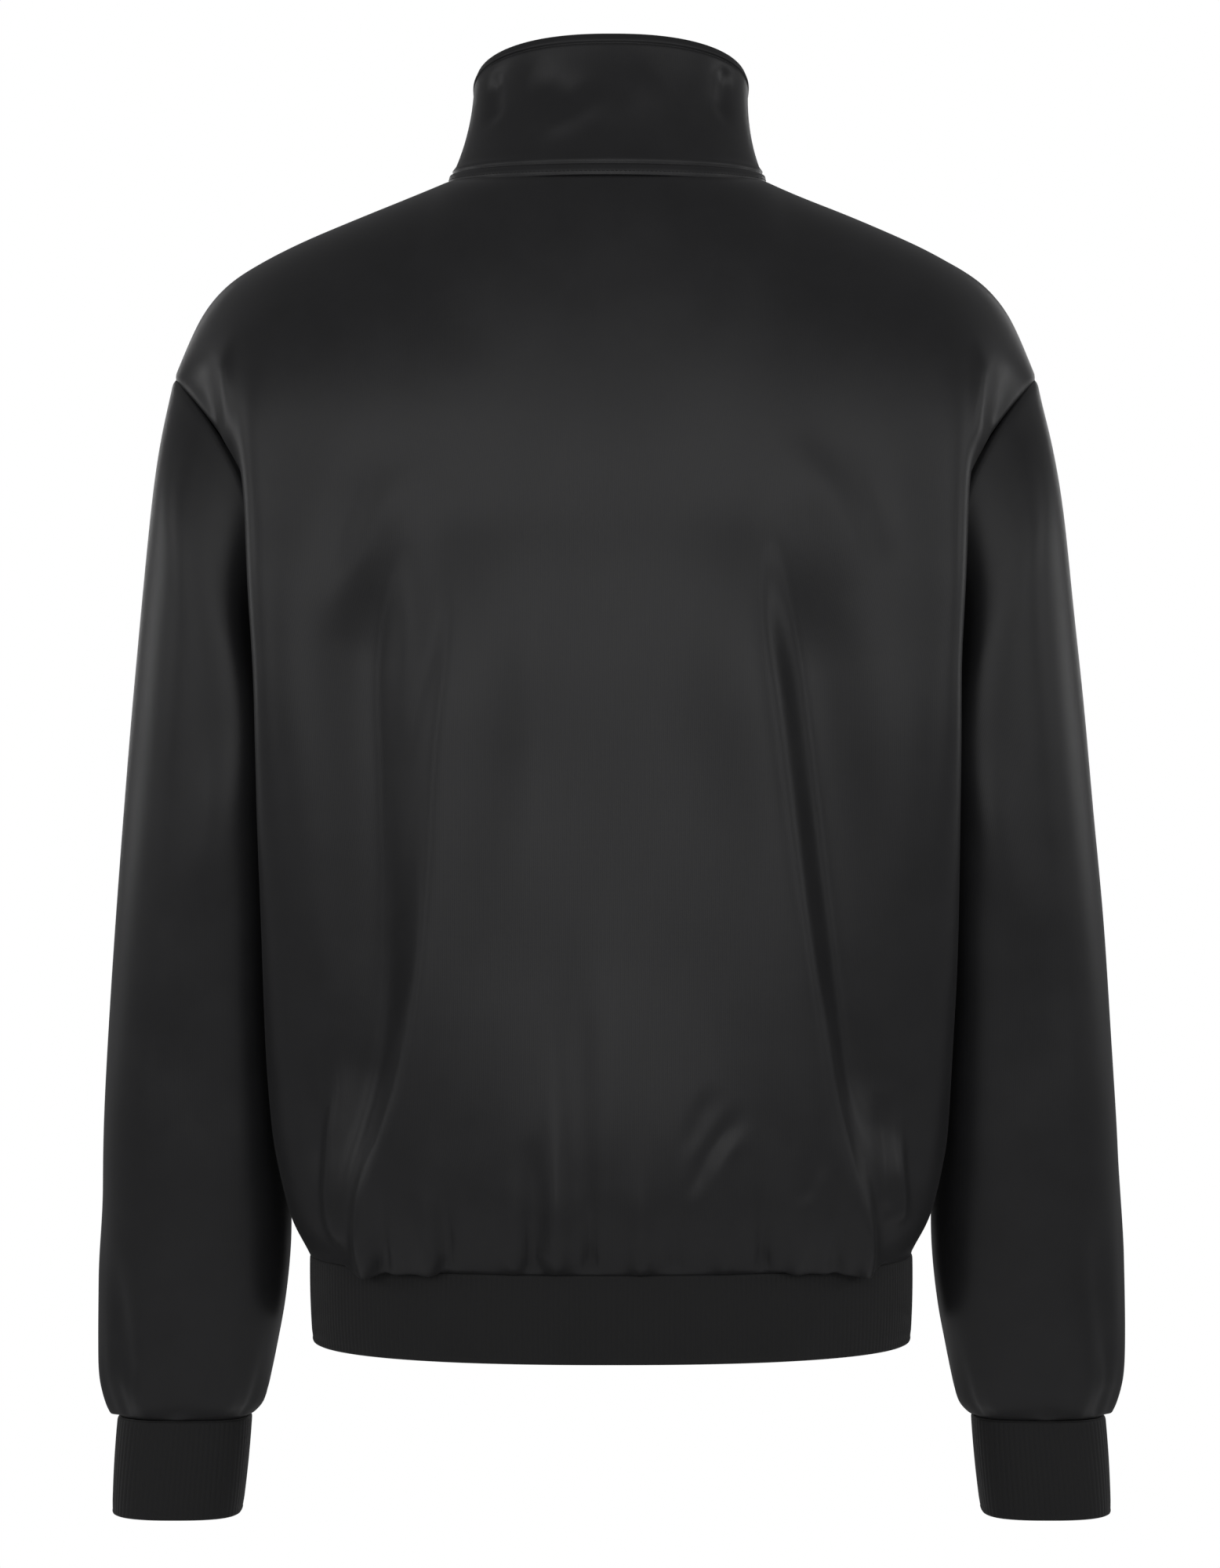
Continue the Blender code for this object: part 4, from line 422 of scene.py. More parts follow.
COLLAR_CREASES = (
    Crease(((0.345, 0.95), (0.350, 0.68), (0.365, 0.42)), -0.0030, 0.008, 0.008),
    Crease(((0.655, 0.90), (0.652, 0.65), (0.640, 0.40)), -0.0030, 0.008, 0.008),
    Crease(((0.600, 0.78), (0.560, 0.62), (0.520, 0.52)), -0.0021, 0.010, 0.010),
    Crease(((0.590, 0.30), (0.540, 0.42), (0.500, 0.62)), 0.0022, 0.008, 0.008),
    Crease(((0.440, 0.75), (0.480, 0.55), (0.520, 0.40)), 0.0014, 0.013, 0.013),
    Crease(((0.160, 0.80), (0.180, 0.55), (0.200, 0.35)), -0.0016, 0.014, 0.014),
    Crease(((0.850, 0.75), (0.820, 0.50), (0.800, 0.30)), -0.0018, 0.014, 0.014),
)


# ---- curves ------------------------------------------------------------------------------------------
def column(rows: tuple, name: str) -> np.ndarray:
    """One named column of a table."""
    return np.array([getattr(row, name) for row in rows], dtype=float)


def cubic(t: np.ndarray) -> tuple[np.ndarray, np.ndarray, np.ndarray, np.ndarray]:
    """Weights of a cubic step's start, slope there, end and slope there, at shares of the step."""
    t2, t3 = t * t, t * t * t
    return 2 * t3 - 3 * t2 + 1, t3 - 2 * t2 + t, 3 * t2 - 2 * t3, t3 - t2


def monotone(xs: np.ndarray, ys: np.ndarray, at: np.ndarray | float) -> np.ndarray:
    """Read a smooth curve that never overshoots its points.

    Args:
        xs: Rising places of the points.
        ys: Their values.
        at: Where to read the curve.

    Returns:
        The values at `at`.
    """
    xs, ys, at = np.asarray(xs, float), np.asarray(ys, float), np.asarray(at, float)
    step = np.diff(xs)
    slope = np.diff(ys) / step
    bend = np.zeros_like(ys)
    same = slope[:-1] * slope[1:] > 0
    bend[1:-1][same] = 2 / (1 / slope[:-1][same] + 1 / slope[1:][same])
    bend[0], bend[-1] = slope[0], slope[-1]
    i = np.clip(np.searchsorted(xs, at) - 1, 0, len(step) - 1)
    start, leave, end, arrive = cubic(np.clip((at - xs[i]) / step[i], 0, 1))
    low = start * ys[i] + leave * step[i] * bend[i]
    return low + end * ys[i + 1] + arrive * step[i] * bend[i + 1]


def curve(table: tuple[tuple[float, float], ...], at: np.ndarray | float) -> np.ndarray:
    """Read the smooth curve through a table's pairs."""
    return monotone(*np.array(table).T, at)


def body_size(name: str, z: np.ndarray | float) -> np.ndarray:
    """A size of the body's section at height z."""
    return monotone(column(BODY, "z"), column(BODY, name), z)


def smoothstep(x: np.ndarray | float) -> np.ndarray:
    """0 below 0, 1 above 1, soft between."""
    x = np.clip(x, 0, 1)
    return x * x * (3 - 2 * x)


def lengths(points: np.ndarray) -> np.ndarray:
    """Length along a line of points, from its start."""
    return np.concatenate([[0], np.cumsum(np.linalg.norm(np.diff(points, axis=0), axis=1))])


def resample(points: np.ndarray, shares: np.ndarray) -> np.ndarray:
    """Points at shares of a line's length."""
    along = lengths(points)
    want = np.asarray(shares) * along[-1]
    return np.stack([np.interp(want, along, points[:, k]) for k in range(points.shape[1])], axis=1)


def unit(v: np.ndarray) -> np.ndarray:
    """Vectors of length 1."""
    return v / np.maximum(np.linalg.norm(v, axis=-1, keepdims=True), TINY**2)


def smooth_line(points: tuple[tuple[float, float], ...], steps: int) -> np.ndarray:
    """A Catmull-Rom line through a few points of a plane."""
    p = np.array(points, float)
    p = np.vstack([2 * p[0] - p[1], p, 2 * p[-1] - p[-2]])
    out = []
    for i in range(1, len(p) - 2):
        t = np.linspace(0, 1, steps, endpoint=False)[:, None]
        a, b, c, d = p[i - 1], p[i], p[i + 1], p[i + 2]
        out.append(
            0.5 * (2 * b + (c - a) * t + (2 * a - 5 * b + 4 * c - d) * t**2 + (3 * b - a - 3 * c + d) * t**3)
        )
    return np.vstack(out + [p[-2][None]])


def lean(points: np.ndarray) -> np.ndarray:
    """The points shifted sideways as the jacket hangs."""
    moved = points.copy()
    moved[..., 0] += curve(LEAN, points[..., 2])
    return moved


def mirror(points: np.ndarray) -> np.ndarray:
    """The same points on the other side of the middle plane."""
    return points * np.array([-1.0, 1.0, 1.0])


def near_end(count: int, reach: float, extra: tuple[float, ...]) -> np.ndarray:
    """Even steps from 0 to 1 with finer ones before the end.

    Args:
        count: How many even steps.
        reach: How long the last even step is, in the units of `extra`.
        extra: Distances from the end of the finer steps.

    Returns:
        The steps, rising from 0 to 1.
    """
    even = np.linspace(0, 1, count + 1)
    fine = 1 - np.array(extra) / (reach * count)
    return np.unique(np.concatenate([even, fine[fine > even[-2] + TINY]]))


# ---- the cloth's form --------------------------------------------------------------------------------
@dataclass
class Net:
    """A grid of points on the outside of a piece of cloth, rows upward or along the sleeve."""

    points: np.ndarray
    closed: bool
    normals: np.ndarray | None = None

    def across(self) -> np.ndarray:
        """Distances along each row from its first point."""
        step = np.linalg.norm(np.diff(self.points, axis=1), axis=2)
        return np.concatenate([np.zeros((len(step), 1)), np.cumsum(step, axis=1)], axis=1)

    def up(self) -> np.ndarray:
        """Distances along each column from its first point."""
        step = np.linalg.norm(np.diff(self.points, axis=0), axis=2)
        return np.concatenate([np.zeros((1, step.shape[1])), np.cumsum(step, axis=0)], axis=0)

    def girth(self) -> np.ndarray:
        """Length of each row, all round on a closed net."""
        last = np.linalg.norm(self.points[:, -1] - self.points[:, 0], axis=1) if self.closed else 0.0
        return self.across()[:, -1] + last

    def eased(self, passes: int) -> Net:
        """The same net with small kinks of its form smoothed out and its edges kept."""
        p = self.points.copy()
        for _ in range(passes):
            p[1:-1] = (p[:-2] + 2 * p[1:-1] + p[2:]) / 4
            if self.closed:
                inner = (np.roll(p, 1, axis=1) + 2 * p + np.roll(p, -1, axis=1)) / 4
                p[1:-1] = inner[1:-1]
            else:
                p[1:-1, 1:-1] = (p[1:-1, :-2] + 2 * p[1:-1, 1:-1] + p[1:-1, 2:]) / 4
        return Net(p, self.closed)


@dataclass(frozen=True)
class Grain:
    """How finely the cloth is divided.

    The edges are the last even step's length and the distances of the finer steps from the edge.
    """

    neck: int = 49
    shoulder: int = 60
    lower: int = 96
    armhole: int = 26
    upper: int = 56
    sleeve: int = 120
    collar: int = 46
    levels: int = 320
    ease: int = 14
    side_edge: tuple[float, tuple[float, ...]] = (0.0024, (0.0006, 0.0013))
    top_edge: tuple[float, tuple[float, ...]] = (0.0036, (0.0007, 0.0014, 0.0022))
    sleeve_ends: tuple[float, ...] = (0.02, 0.05)
    collar_bands: tuple[float, ...] = (-0.018, -0.012, -0.007, -0.003, 0, 0.003, 0.007, 0.012, 0.018)
    collar_ends: tuple[float, ...] = (0, 0.006, 0.013, 0.022)
    collar_least: float = 0.002  # between two rows


def edge_at(z: float, back: bool) -> tuple[float, float]:
    """The side seam, or the armhole above the underarm: x and y at height z."""
    if z < UNDERARM_Z:
        return float(body_size("side_half", z)), 0.0
    turn = math.asin(min(max((ARMHOLE_WIDE_Z - z) / (ARMHOLE_WIDE_Z - UNDERARM_Z), 0), 1))
    wide_x, wide_y = ARMHOLE_BACK if back else ARMHOLE_FRONT
    under_x = float(body_size("side_half", UNDERARM_Z))
    return under_x + (wide_x - under_x) * math.cos(turn), wide_y * math.cos(turn)


def half_ring(z: float, back: bool) -> np.ndarray:
    """A dense level line from the middle to the side: across, round the corner, in to the edge."""
    half = float(body_size("back_half" if back else "front_half", z))
    corner_y = float(body_size("back_corner_y" if back else "front_corner_y", z))
    middle_y = float(body_size("back_y" if back else "front_y", z))
    edge_x, edge_y = edge_at(z, back)
    power = 2 / float(body_size("roundness", z))
    first = 0.0 if back else math.asin((FRONT_GAP / half) ** (1 / power))
    turn = np.linspace(first, math.pi / 2, RING_STEPS)
    x = half * np.sin(turn) ** power
    y = corner_y + (middle_y - corner_y) * np.maximum(np.cos(turn), 0) ** power
    t = np.linspace(0, 1, SIDE_STEPS)[1:]
    x = np.concatenate([x, edge_x + (half - edge_x) * (1 + np.cos(math.pi * t)) / 2])
    y = np.concatenate([y, corner_y + (edge_y - corner_y) * t])
    return np.stack([x, y, np.full_like(x, z)], axis=1)


@dataclass
class Cut:
    """The jacket's cut: nets of the back, fronts, sleeves and collar, filled out and smooth."""

    grain: Grain

    def __post_init__(self) -> None:
        """Work out where the columns and rows stand."""
        g = self.grain
        neck = np.linspace(0, NECK_SHARE, g.neck + 1)
        side = NECK_SHARE + (1 - NECK_SHARE) * near_end(g.shoulder, *g.side_edge)
        self.shares = np.concatenate([neck, side[1:]])
        self.lower = np.linspace(0, 1, g.lower + 1)
        self.armhole = np.linspace(0, 1, g.armhole + 1)[1:]
        self.upper = near_end(g.upper, *g.top_edge)[1:]

    def form(self, back: bool) -> tuple[np.ndarray, np.ndarray]:
        """Levels and, for each, the points of the body's columns there."""
        turn = np.linspace(0, math.pi / 2, SIDE_STEPS)
        near = ARMHOLE_WIDE_Z - (ARMHOLE_WIDE_Z - UNDERARM_Z) * np.sin(turn)
        low = np.linspace(HEM_SEAM_Z, UNDERARM_Z, self.grain.levels)
        levels = np.unique(np.concatenate([low, near]))
        return levels, np.stack([self.placed(half_ring(z, back)) for z in levels])

    def placed(self, ring: np.ndarray) -> np.ndarray:
        """The columns' points on a half ring, with the corner always at the same column."""
        along = lengths(ring)
        corner = along[RING_STEPS - 1]
        side = (self.shares - CORNER_COLUMN) / (1 - CORNER_COLUMN)
        want = np.where(side < 0, self.shares / CORNER_COLUMN * corner, corner + side * (along[-1] - corner))
        return np.stack([np.interp(want, along, ring[:, k]) for k in range(3)], axis=1)

    def top_line(self, back: bool) -> np.ndarray:
        """The neckline from the middle to the shoulder's high point, then the shoulder seam."""
        middle_y, middle_z = NECK_BACK if back else NECK_FRONT
        first = 0.0 if back else math.asin(FRONT_GAP / NECK_HALF)
        count = self.grain.neck
        turn = first + (math.pi / 2 - first) * self.shares[: count + 1] / NECK_SHARE
        swing = np.maximum(np.cos(turn), 0)
        neck = np.stack(
            [
                NECK_HALF * np.sin(turn),
                NECK_SIDE_Y + (middle_y - NECK_SIDE_Y) * swing,
                middle_z * swing ** (1.0 if back else FRONT_NECK_POWER),
            ],
            axis=1,
        )
        xs, zs = np.array(SHOULDER).T
        chord = np.concatenate([[0], np.cumsum(np.hypot(np.diff(xs), np.diff(zs)))])
        fine = np.linspace(0, chord[-1], FINE_STEPS)
        y = np.linspace(NECK_SIDE_Y, TIP_Y, FINE_STEPS)
        seam = np.stack([monotone(chord, xs, fine), y, monotone(chord, zs, fine)], axis=1)
        out = (self.shares[count:] - NECK_SHARE) / (1 - NECK_SHARE)
        return np.concatenate([neck, resample(seam, out)[1:]])

    def softened(self, line: np.ndarray) -> np.ndarray:
        """A line with its corner rounded over CORNER_SHARE of its columns, and its ends kept."""
        shares = self.shares
        before = 2 * line[0] - line[1:][::-1]
        after = 2 * line[-1] - line[:-1][::-1]
        whole = np.concatenate([before, line, after])
        at = np.concatenate([-shares[1:][::-1], shares, 2 - shares[:-1][::-1]])
        weight = np.exp(-(((shares[:, None] - at[None, :]) / CORNER_SHARE) ** 2)) * np.gradient(at)
        return (weight @ whole) / weight.sum(axis=1, keepdims=True)

    def half_panel(self, back: bool) -> np.ndarray:
        """Points of half the back, or of a front, on the +X side: rows from the hem up."""
        levels, form = self.form(back)
        shares = self.shares
        drop = ARMHOLE_WIDE_Z - UNDERARM_Z
        lower = HEM_SEAM_Z + (UNDERARM_Z - HEM_SEAM_Z) * self.lower**LOWER_SPACING
        middle = UNDERARM_Z + drop * self.armhole
        edge = ARMHOLE_WIDE_Z - drop * np.sin(math.pi / 2 * (1 - self.armhole))
        slanted = middle[:, None] + (edge - middle)[:, None] * shares[None, :] ** SLANT_POWER
        heights = np.vstack([np.repeat(lower[:, None], len(shares), axis=1), slanted])
        low = np.empty(heights.shape + (3,))
        for j in range(len(shares)):
            for k in range(3):
                low[:, j, k] = np.interp(heights[:, j], levels, form[:, j, k])
        for r, z in enumerate(edge):
            x, y = edge_at(z, back)
            low[len(lower) + r, -1] = (x, y, z)
        base, top = low[-1], self.top_line(back)
        soft = self.softened(top)
        out = top[:, 0] / top[-1, 0]
        side = "back" if back else "front"
        rise = monotone(column(CLOSING, "out"), column(CLOSING, "rise_" + side), out)
        draw = monotone(column(CLOSING, "out"), column(CLOSING, "draw_" + side), out)
        turn = (math.pi / 2 * self.upper)[:, None]
        s, c = np.sin(turn), np.maximum(np.cos(turn), 0)
        high = np.empty((len(self.upper), len(shares), 3))
        high[..., 0] = base[:, 0] + (soft[:, 0] - base[:, 0]) * s**SPREAD
        high[..., 1] = soft[:, 1] + (base[:, 1] - soft[:, 1]) * c**draw
        high[..., 2] = base[:, 2] + (soft[:, 2] - base[:, 2]) * s**rise
        high += (top - soft) * (self.upper**CORNER_POWER)[:, None, None]
        return np.concatenate([low, high])

    def sleeve(self, back_half: np.ndarray, front_half: np.ndarray) -> tuple[np.ndarray, np.ndarray]:
        """The +X sleeve from the armhole to the cuff, on the armhole's own points.

        Args:
            back_half: Net of half the back.
            front_half: Net of a front.

        Returns:
            The sleeve's points and each column's share of the way round from the outer line.
        """
        first = len(self.lower) - 1
        back_edge = back_half[first:, -1][::-1]
        front_edge = front_half[first:, -1]
        hole = np.concatenate([back_edge, front_edge[1:-1]])
        along_back, along_front = lengths(back_edge), lengths(front_edge)
        turn = math.pi * np.concatenate(
            [along_back / along_back[-1], 1 + along_front[1:-1] / along_front[-1]]
        )
        rings = np.stack([hole] + [sleeve_ring(row, turn) for row in SLEEVE])
        slope = np.empty_like(rings)
        slope[1:-1] = (rings[2:] - rings[:-2]) / 2
        slope[0] = rings[1] - rings[0]
        slope[0, :, 0] += ARMPIT_FLARE * ((1 - np.cos(turn)) / 2) ** FLARE_POWER
        slope[-1] = rings[-1] - rings[-2]
        last = len(rings) - 1
        even = np.linspace(0, last, self.grain.sleeve + 1)
        fine = np.array(self.grain.sleeve_ends)
        close = last - np.linspace(0, 1, CLOSE_ROWS)
        rows = np.unique(np.concatenate([even, fine, last - 2 * fine, close]))
        i = np.minimum(rows.astype(int), last - 1)
        start, leave, end, arrive = cubic((rows - i)[:, None, None])
        net = start * rings[i] + leave * slope[i]
        net += end * rings[i + 1] + arrive * slope[i + 1]
        return net, turn / (2 * math.pi)

    def collar(self, back: np.ndarray, right: np.ndarray, left: np.ndarray) -> np.ndarray:
        """The collar from the right front edge by the back to the left one, rows from the seam up."""
        n, middle = self.grain.neck, len(self.shares) - 1
        back_top = back[-1, middle - n : middle + n + 1][::-1]
        neck = np.concatenate([right[-1, -1 - n :][::-1][:-1], back_top[:-1], left[-1, : n + 1][::-1]])
        power = 2 / COLLAR_ROUNDNESS
        opening = math.asin((FRONT_GAP / COLLAR_HALF) ** (1 / power))
        halves = []
        for depth, first in ((COLLAR_FRONT_Y, opening), (COLLAR_BACK_Y, 0.0)):
            turn = np.linspace(first, math.pi / 2, COLLAR_STEPS)
            x = COLLAR_HALF * np.sin(turn) ** power
            y = depth * np.maximum(np.cos(turn), 0) ** power
            edge = np.stack([x, y, curve(COLLAR_TOP, y)], axis=1)
            halves.append(resample(edge, np.linspace(0, 1, n + 1)))
        half = np.concatenate([halves[0], halves[1][::-1][1:]])
        top = np.concatenate([mirror(half), half[::-1][1:]])
        place = np.abs(np.linspace(-1, 1, len(neck)))
        bow = curve(COLLAR_BOW, place)[None, :, None]
        up = self.collar_rows()[:, None, None]
        net = neck + (top - neck) * (1 - (1 - up) ** bow)
        net[..., 2] = neck[:, 2] + (top[:, 2] - neck[:, 2]) * up[..., 0]
        return net

    def collar_rows(self) -> np.ndarray:
        """Shares of the collar's height, with fine steps at the seam, the welt and the turned edge."""
        welt, edge = WELT_TALL / COLLAR_TALL, 1 - EDGE_TALL / COLLAR_TALL
        fine, ends = np.array(self.grain.collar_bands), np.array(self.grain.collar_ends)
        even = np.linspace(0, 1, self.grain.collar)
        rows = np.concatenate([even, welt + fine, edge + fine, ends, 1 - ends])
        rows = np.unique(np.round(rows, 5))
        keep = np.concatenate([[True], np.diff(rows) > self.grain.collar_least])
        keep[-1] = True
        return rows[keep]


def sleeve_ring(row: SleeveRow, turn: np.ndarray) -> np.ndarray:
    """A ring of the +X sleeve; turn 0 is its outer line and a quarter turn its back."""
    c, s = np.cos(turn), np.sin(turn)
    power = 2 / np.where(c > 0, SLEEVE_ROUNDNESS, SLEEVE_INNER_ROUNDNESS)
    across = np.sign(c) * np.abs(c) ** power * (row.outer_x - row.inner_x) / 2
    deep = np.sign(s) * np.abs(s) ** power
    return np.stack(
        [
            (row.outer_x + row.inner_x) / 2 + across,
            row.middle_y + row.half_depth * deep - row.shear * across,
            (row.outer_z + row.inner_z) / 2 + (row.outer_z - row.inner_z) / 2 * c,
        ],
        axis=1,
    )


def grid_faces(rows: int, columns: int, closed: bool) -> np.ndarray:
    """Four-sided faces over a grid of points, as point numbers."""
    r, c = np.meshgrid(np.arange(rows - 1), np.arange(columns if closed else columns - 1), indexing="ij")
    r, c = r.ravel(), c.ravel()
    n = (c + 1) % columns
    low, high = r * columns, (r + 1) * columns
    return np.stack([low + c, low + n, high + n, high + c], axis=1)


def shared_normals(nets: list[Net]) -> None:
    """Give each net outward normals, shared with the others where their points coincide."""
    points = np.concatenate([net.points.reshape(-1, 3) for net in nets])
    keys = np.round(points * MICROMETRES).astype(np.int64)
    _, index = np.unique(keys, axis=0, return_inverse=True)
    index = index.reshape(-1)
    total = np.zeros((index.max() + 1, 3))
    start = 0
    for net in nets:
        rows, columns = net.points.shape[:2]
        faces = grid_faces(rows, columns, net.closed) + start
        a, b, c, d = (points[faces[:, i]] for i in range(4))
        normal = np.cross(c - a, d - b)
        centre = np.median(net.points.reshape(-1, 3), axis=0)
        if not net.closed:
            centre = np.array([0.0, 0.0, centre[2]])
        away = (a + c) / 2 - centre
        away[:, 2] = 0
        if np.sum(normal * away) < 0:
            normal = -normal
        own = np.zeros_like(total)
        for i in range(4):
            np.add.at(own, index[faces[:, i]], normal)
        total += unit(own)
        start += rows * columns
    normals = unit(total)[index]
    start = 0
    for net in nets:
        size = net.points.shape[0] * net.points.shape[1]
        net.normals = normals[start : start + size].reshape(net.points.shape)
        start += size


# ---- relief ------------------------------------------------------------------------------------------
LINE_STEPS = 10  # between two points of a crease
CREASE_REACH = 3  # half widths, past which a crease has no lift
OPEN_END = 9.0  # steps by which a crease's ends run on


def crease_lift(crease: Crease, u: np.ndarray, v: np.ndarray, scale: tuple[float, float]) -> np.ndarray:
    """How far one crease moves the points (u, v).

    Args:
        crease: The crease, in the units of u and v.
        u: First coordinate of the points.
        v: Second coordinate of the points.
        scale: Metres for each unit of u and of v.

    Returns:
        The lift in metres at each point.
    """
    size = np.array(scale)
    line = smooth_line(crease.line, LINE_STEPS) * size
    reach = CREASE_REACH * max(crease.low, crease.high)
    lift = np.zeros_like(u)
    low, high = line.min(axis=0) - reach, line.max(axis=0) + reach
    p_u, p_v = u * size[0], v * size[1]
    near = (p_u > low[0]) & (p_u < high[0]) & (p_v > low[1]) & (p_v < high[1])
    if not near.any():
        return lift
    p = np.stack([p_u[near], p_v[near]], axis=1)
    start, run = line[:-1], np.diff(line, axis=0)
    long = np.linalg.norm(run, axis=1)
    t = ((p[:, None] - start[None]) * run[None]).sum(axis=2) / long**2
    piece = np.arange(len(run))
    low_end = np.where(piece == 0, -OPEN_END, 0.0)
    high_end = np.where(piece == len(run) - 1, OPEN_END, 1.0)
    t = np.clip(t, low_end, high_end)
    gap = p[:, None] - (start[None] + run[None] * t[..., None])
    best = np.argmin((gap**2).sum(axis=2), axis=1)
    pick = np.arange(len(p))
    offset, direction = gap[pick, best], run[best] / long[best][:, None]
    aside = direction[:, 0] * offset[:, 1] - direction[:, 1] * offset[:, 0]
    along = (np.concatenate([[0], np.cumsum(long)])[best] + t[pick, best] * long[best]) / long.sum()
    wide = np.where(aside < 0, crease.low, crease.high)
    value = crease.rise * np.exp(-((aside / wide) ** 2))
    if crease.fade0 > 0:
        value = value * smoothstep(along / crease.fade0)
    if crease.fade1 > 0:
        value = value * smoothstep((1 - along) / crease.fade1)
    lift[near] = value
    return lift


def bump(x: np.ndarray, at: float, reach: float) -> np.ndarray:
    """1 at a place, dying out softly on both sides of it."""
    return np.exp(-(((x - at) / reach) ** 2))


@dataclass(frozen=True)
class Wave:
    """The cloth's small unevenness: how many waves, their height, length and range, and their directions."""

    count: int = 9
    rise: float = 0.0004
    length: float = 0.09
    lengths: tuple[float, float] = (0.6, 1.6)  # of that length
    spread: tuple[float, float, float] = (1.0, 1.0, 0.45)


def gather_lift(gathers: tuple[Gather, ...], aside: np.ndarray, up: np.ndarray) -> np.ndarray:
    """Pleats over a gathered seam; `aside` has a last axis with the distance from each gather."""
    lift = np.zeros_like(up)
    for k, g in enumerate(gathers):
        swell = (up / g.reach) * np.exp(1 - up / g.reach)
        lift += g.rise * np.exp(-((aside[..., k] / g.width) ** 2)) * swell
    return lift


def unevenness(points: np.ndarray, wave: Wave, seed: int) -> np.ndarray:
    """Slow, small waves over the cloth, the same on each run."""
    rng = np.random.default_rng(seed)
    total = np.zeros(points.shape[:-1])
    for _ in range(wave.count):
        direction = unit(rng.normal(size=3) * np.array(wave.spread))
        pace = 2 * math.pi / (wave.length * rng.uniform(*wave.lengths))
        total += np.sin((points @ direction) * pace + rng.uniform(0, 2 * math.pi))
    return wave.rise * total / math.sqrt(wave.count)


def seam_roll(distance: np.ndarray) -> np.ndarray:
    """How the cloth turns in towards a seam or a turned edge."""
    return -SEAM_SINK * bump(distance, 0.0, SEAM_ROLL)


# ---- shader node groups ------------------------------------------------------------------------------
COURSE_SHARE = 0.35  # of the courses' height in the wales'
FUZZ_NOISE = {"Scale": 900.0, "Detail": 2.0}
MOTTLE_NOISE = {"Detail": 3.0, "Roughness": 0.6}
MOTTLE_RANGE = {"From Min": 0.3, "From Max": 0.7}


def new_group(name: str, inputs: dict[str, float | tuple], outputs: dict[str, str]) -> tuple:
    """Make a shader node group.

    Args:
        name: The group's name.
        inputs: Default of each input; a tuple makes a vector.
        outputs: Socket type of each output.

    Returns:
        The group, its input node and its output node.
    """
    group = bpy.data.node_groups.new(name, "ShaderNodeTree")
    for label, value in inputs.items():
        kind = "NodeSocketVector" if isinstance(value, tuple) else "NodeSocketFloat"
        socket = group.interface.new_socket(label, in_out="INPUT", socket_type=kind)
        socket.default_value = value
    for label, kind in outputs.items():
        group.interface.new_socket(label, in_out="OUTPUT", socket_type=kind)
    return group, group.nodes.new("NodeGroupInput"), group.nodes.new("NodeGroupOutput")


class Graph:
    """Short ways to add nodes to one tree."""

    def __init__(self, tree: bpy.types.NodeTree) -> None:
        """Keep the tree."""
        self.tree = tree

    def add(self, kind: str, links: dict | None = None, **settings: object) -> bpy.types.Node:
        """Add a node.

        Args:
            kind: The node's type name.
            links: Input name or number to a socket or a value.
            **settings: Properties of the node.

        Returns:
            The node.
        """
        node = self.tree.nodes.new(kind)
        for name, value in settings.items():
            setattr(node, name, value)
        self.put(node, links or {})
        return node

    def put(self, node: bpy.types.Node, links: dict) -> None:
        """Give a node's inputs, by name or number, a socket or a value each."""
        for key, value in links.items():
            if isinstance(value, bpy.types.NodeSocket):
                self.tree.links.new(value, node.inputs[key])
            else:
                node.inputs[key].default_value = value

    def group(self, name: str, links: dict) -> bpy.types.Node:
        """Add one of the shader node groups."""
        return self.add("ShaderNodeGroup", links, node_tree=GROUPS[name])

    def math(self, operation: str, a: object, b: object = 0.0, c: object = 0.0) -> bpy.types.NodeSocket:
        """A Math node's result."""
        return self.add("ShaderNodeMath", {0: a, 1: b, 2: c}, operation=operation).outputs[0]


def knit_relief_group() -> bpy.types.NodeTree:
    """Height of a warp knit: wales along the length, crossed by finer courses, a little uneven."""
    group, source, sink = new_group(
        "knit_relief",
        {"Place": (0.0, 0.0, 0.0), "Wale": 0.0007, "Course": 0.0005, "Fuzz": 0.3},
        {"Height": "NodeSocketFloat"},
    )
    g = Graph(group)
    place = g.add("ShaderNodeSeparateXYZ", {0: source.outputs["Place"]})
    wale = g.math("DIVIDE", place.outputs["X"], source.outputs["Wale"])
    course = g.math("DIVIDE", place.outputs["Y"], source.outputs["Course"])
    ridge = g.math("ABSOLUTE", g.math("SINE", g.math("MULTIPLY", wale, math.pi)))
    loop = g.math("ABSOLUTE", g.math("SINE", g.math("MULTIPLY", course, math.pi)))
    both = g.math("MULTIPLY_ADD", loop, COURSE_SHARE, ridge)
    noise = g.add("ShaderNodeTexNoise", {"Vector": source.outputs["Place"], **FUZZ_NOISE})
    fuzz = g.math("MULTIPLY", noise.outputs["Fac"], source.outputs["Fuzz"])
    group.links.new(g.math("ADD", both, fuzz), sink.inputs["Height"])
    return group


def cloth_mottle_group() -> bpy.types.NodeTree:
    """A slow, faint unevenness of dye and nap, from 0 to 1."""
    group, source, sink = new_group(
        "cloth_mottle", {"Place": (0.0, 0.0, 0.0), "Scale": 30.0}, {"Mask": "NodeSocketFloat"}
    )
    g = Graph(group)
    where = {"Vector": source.outputs["Place"], "Scale": source.outputs["Scale"]}
    noise = g.add("ShaderNodeTexNoise", {**where, **MOTTLE_NOISE})
    soft = g.add("ShaderNodeMapRange", {"Value": noise.outputs["Fac"], **MOTTLE_RANGE})
    group.links.new(soft.outputs["Result"], sink.inputs["Mask"])
    return group


class Held(Enum):
    """How a piece of cloth keeps its form."""

    HUNG = "hung"
    STRETCHED = "stretched"


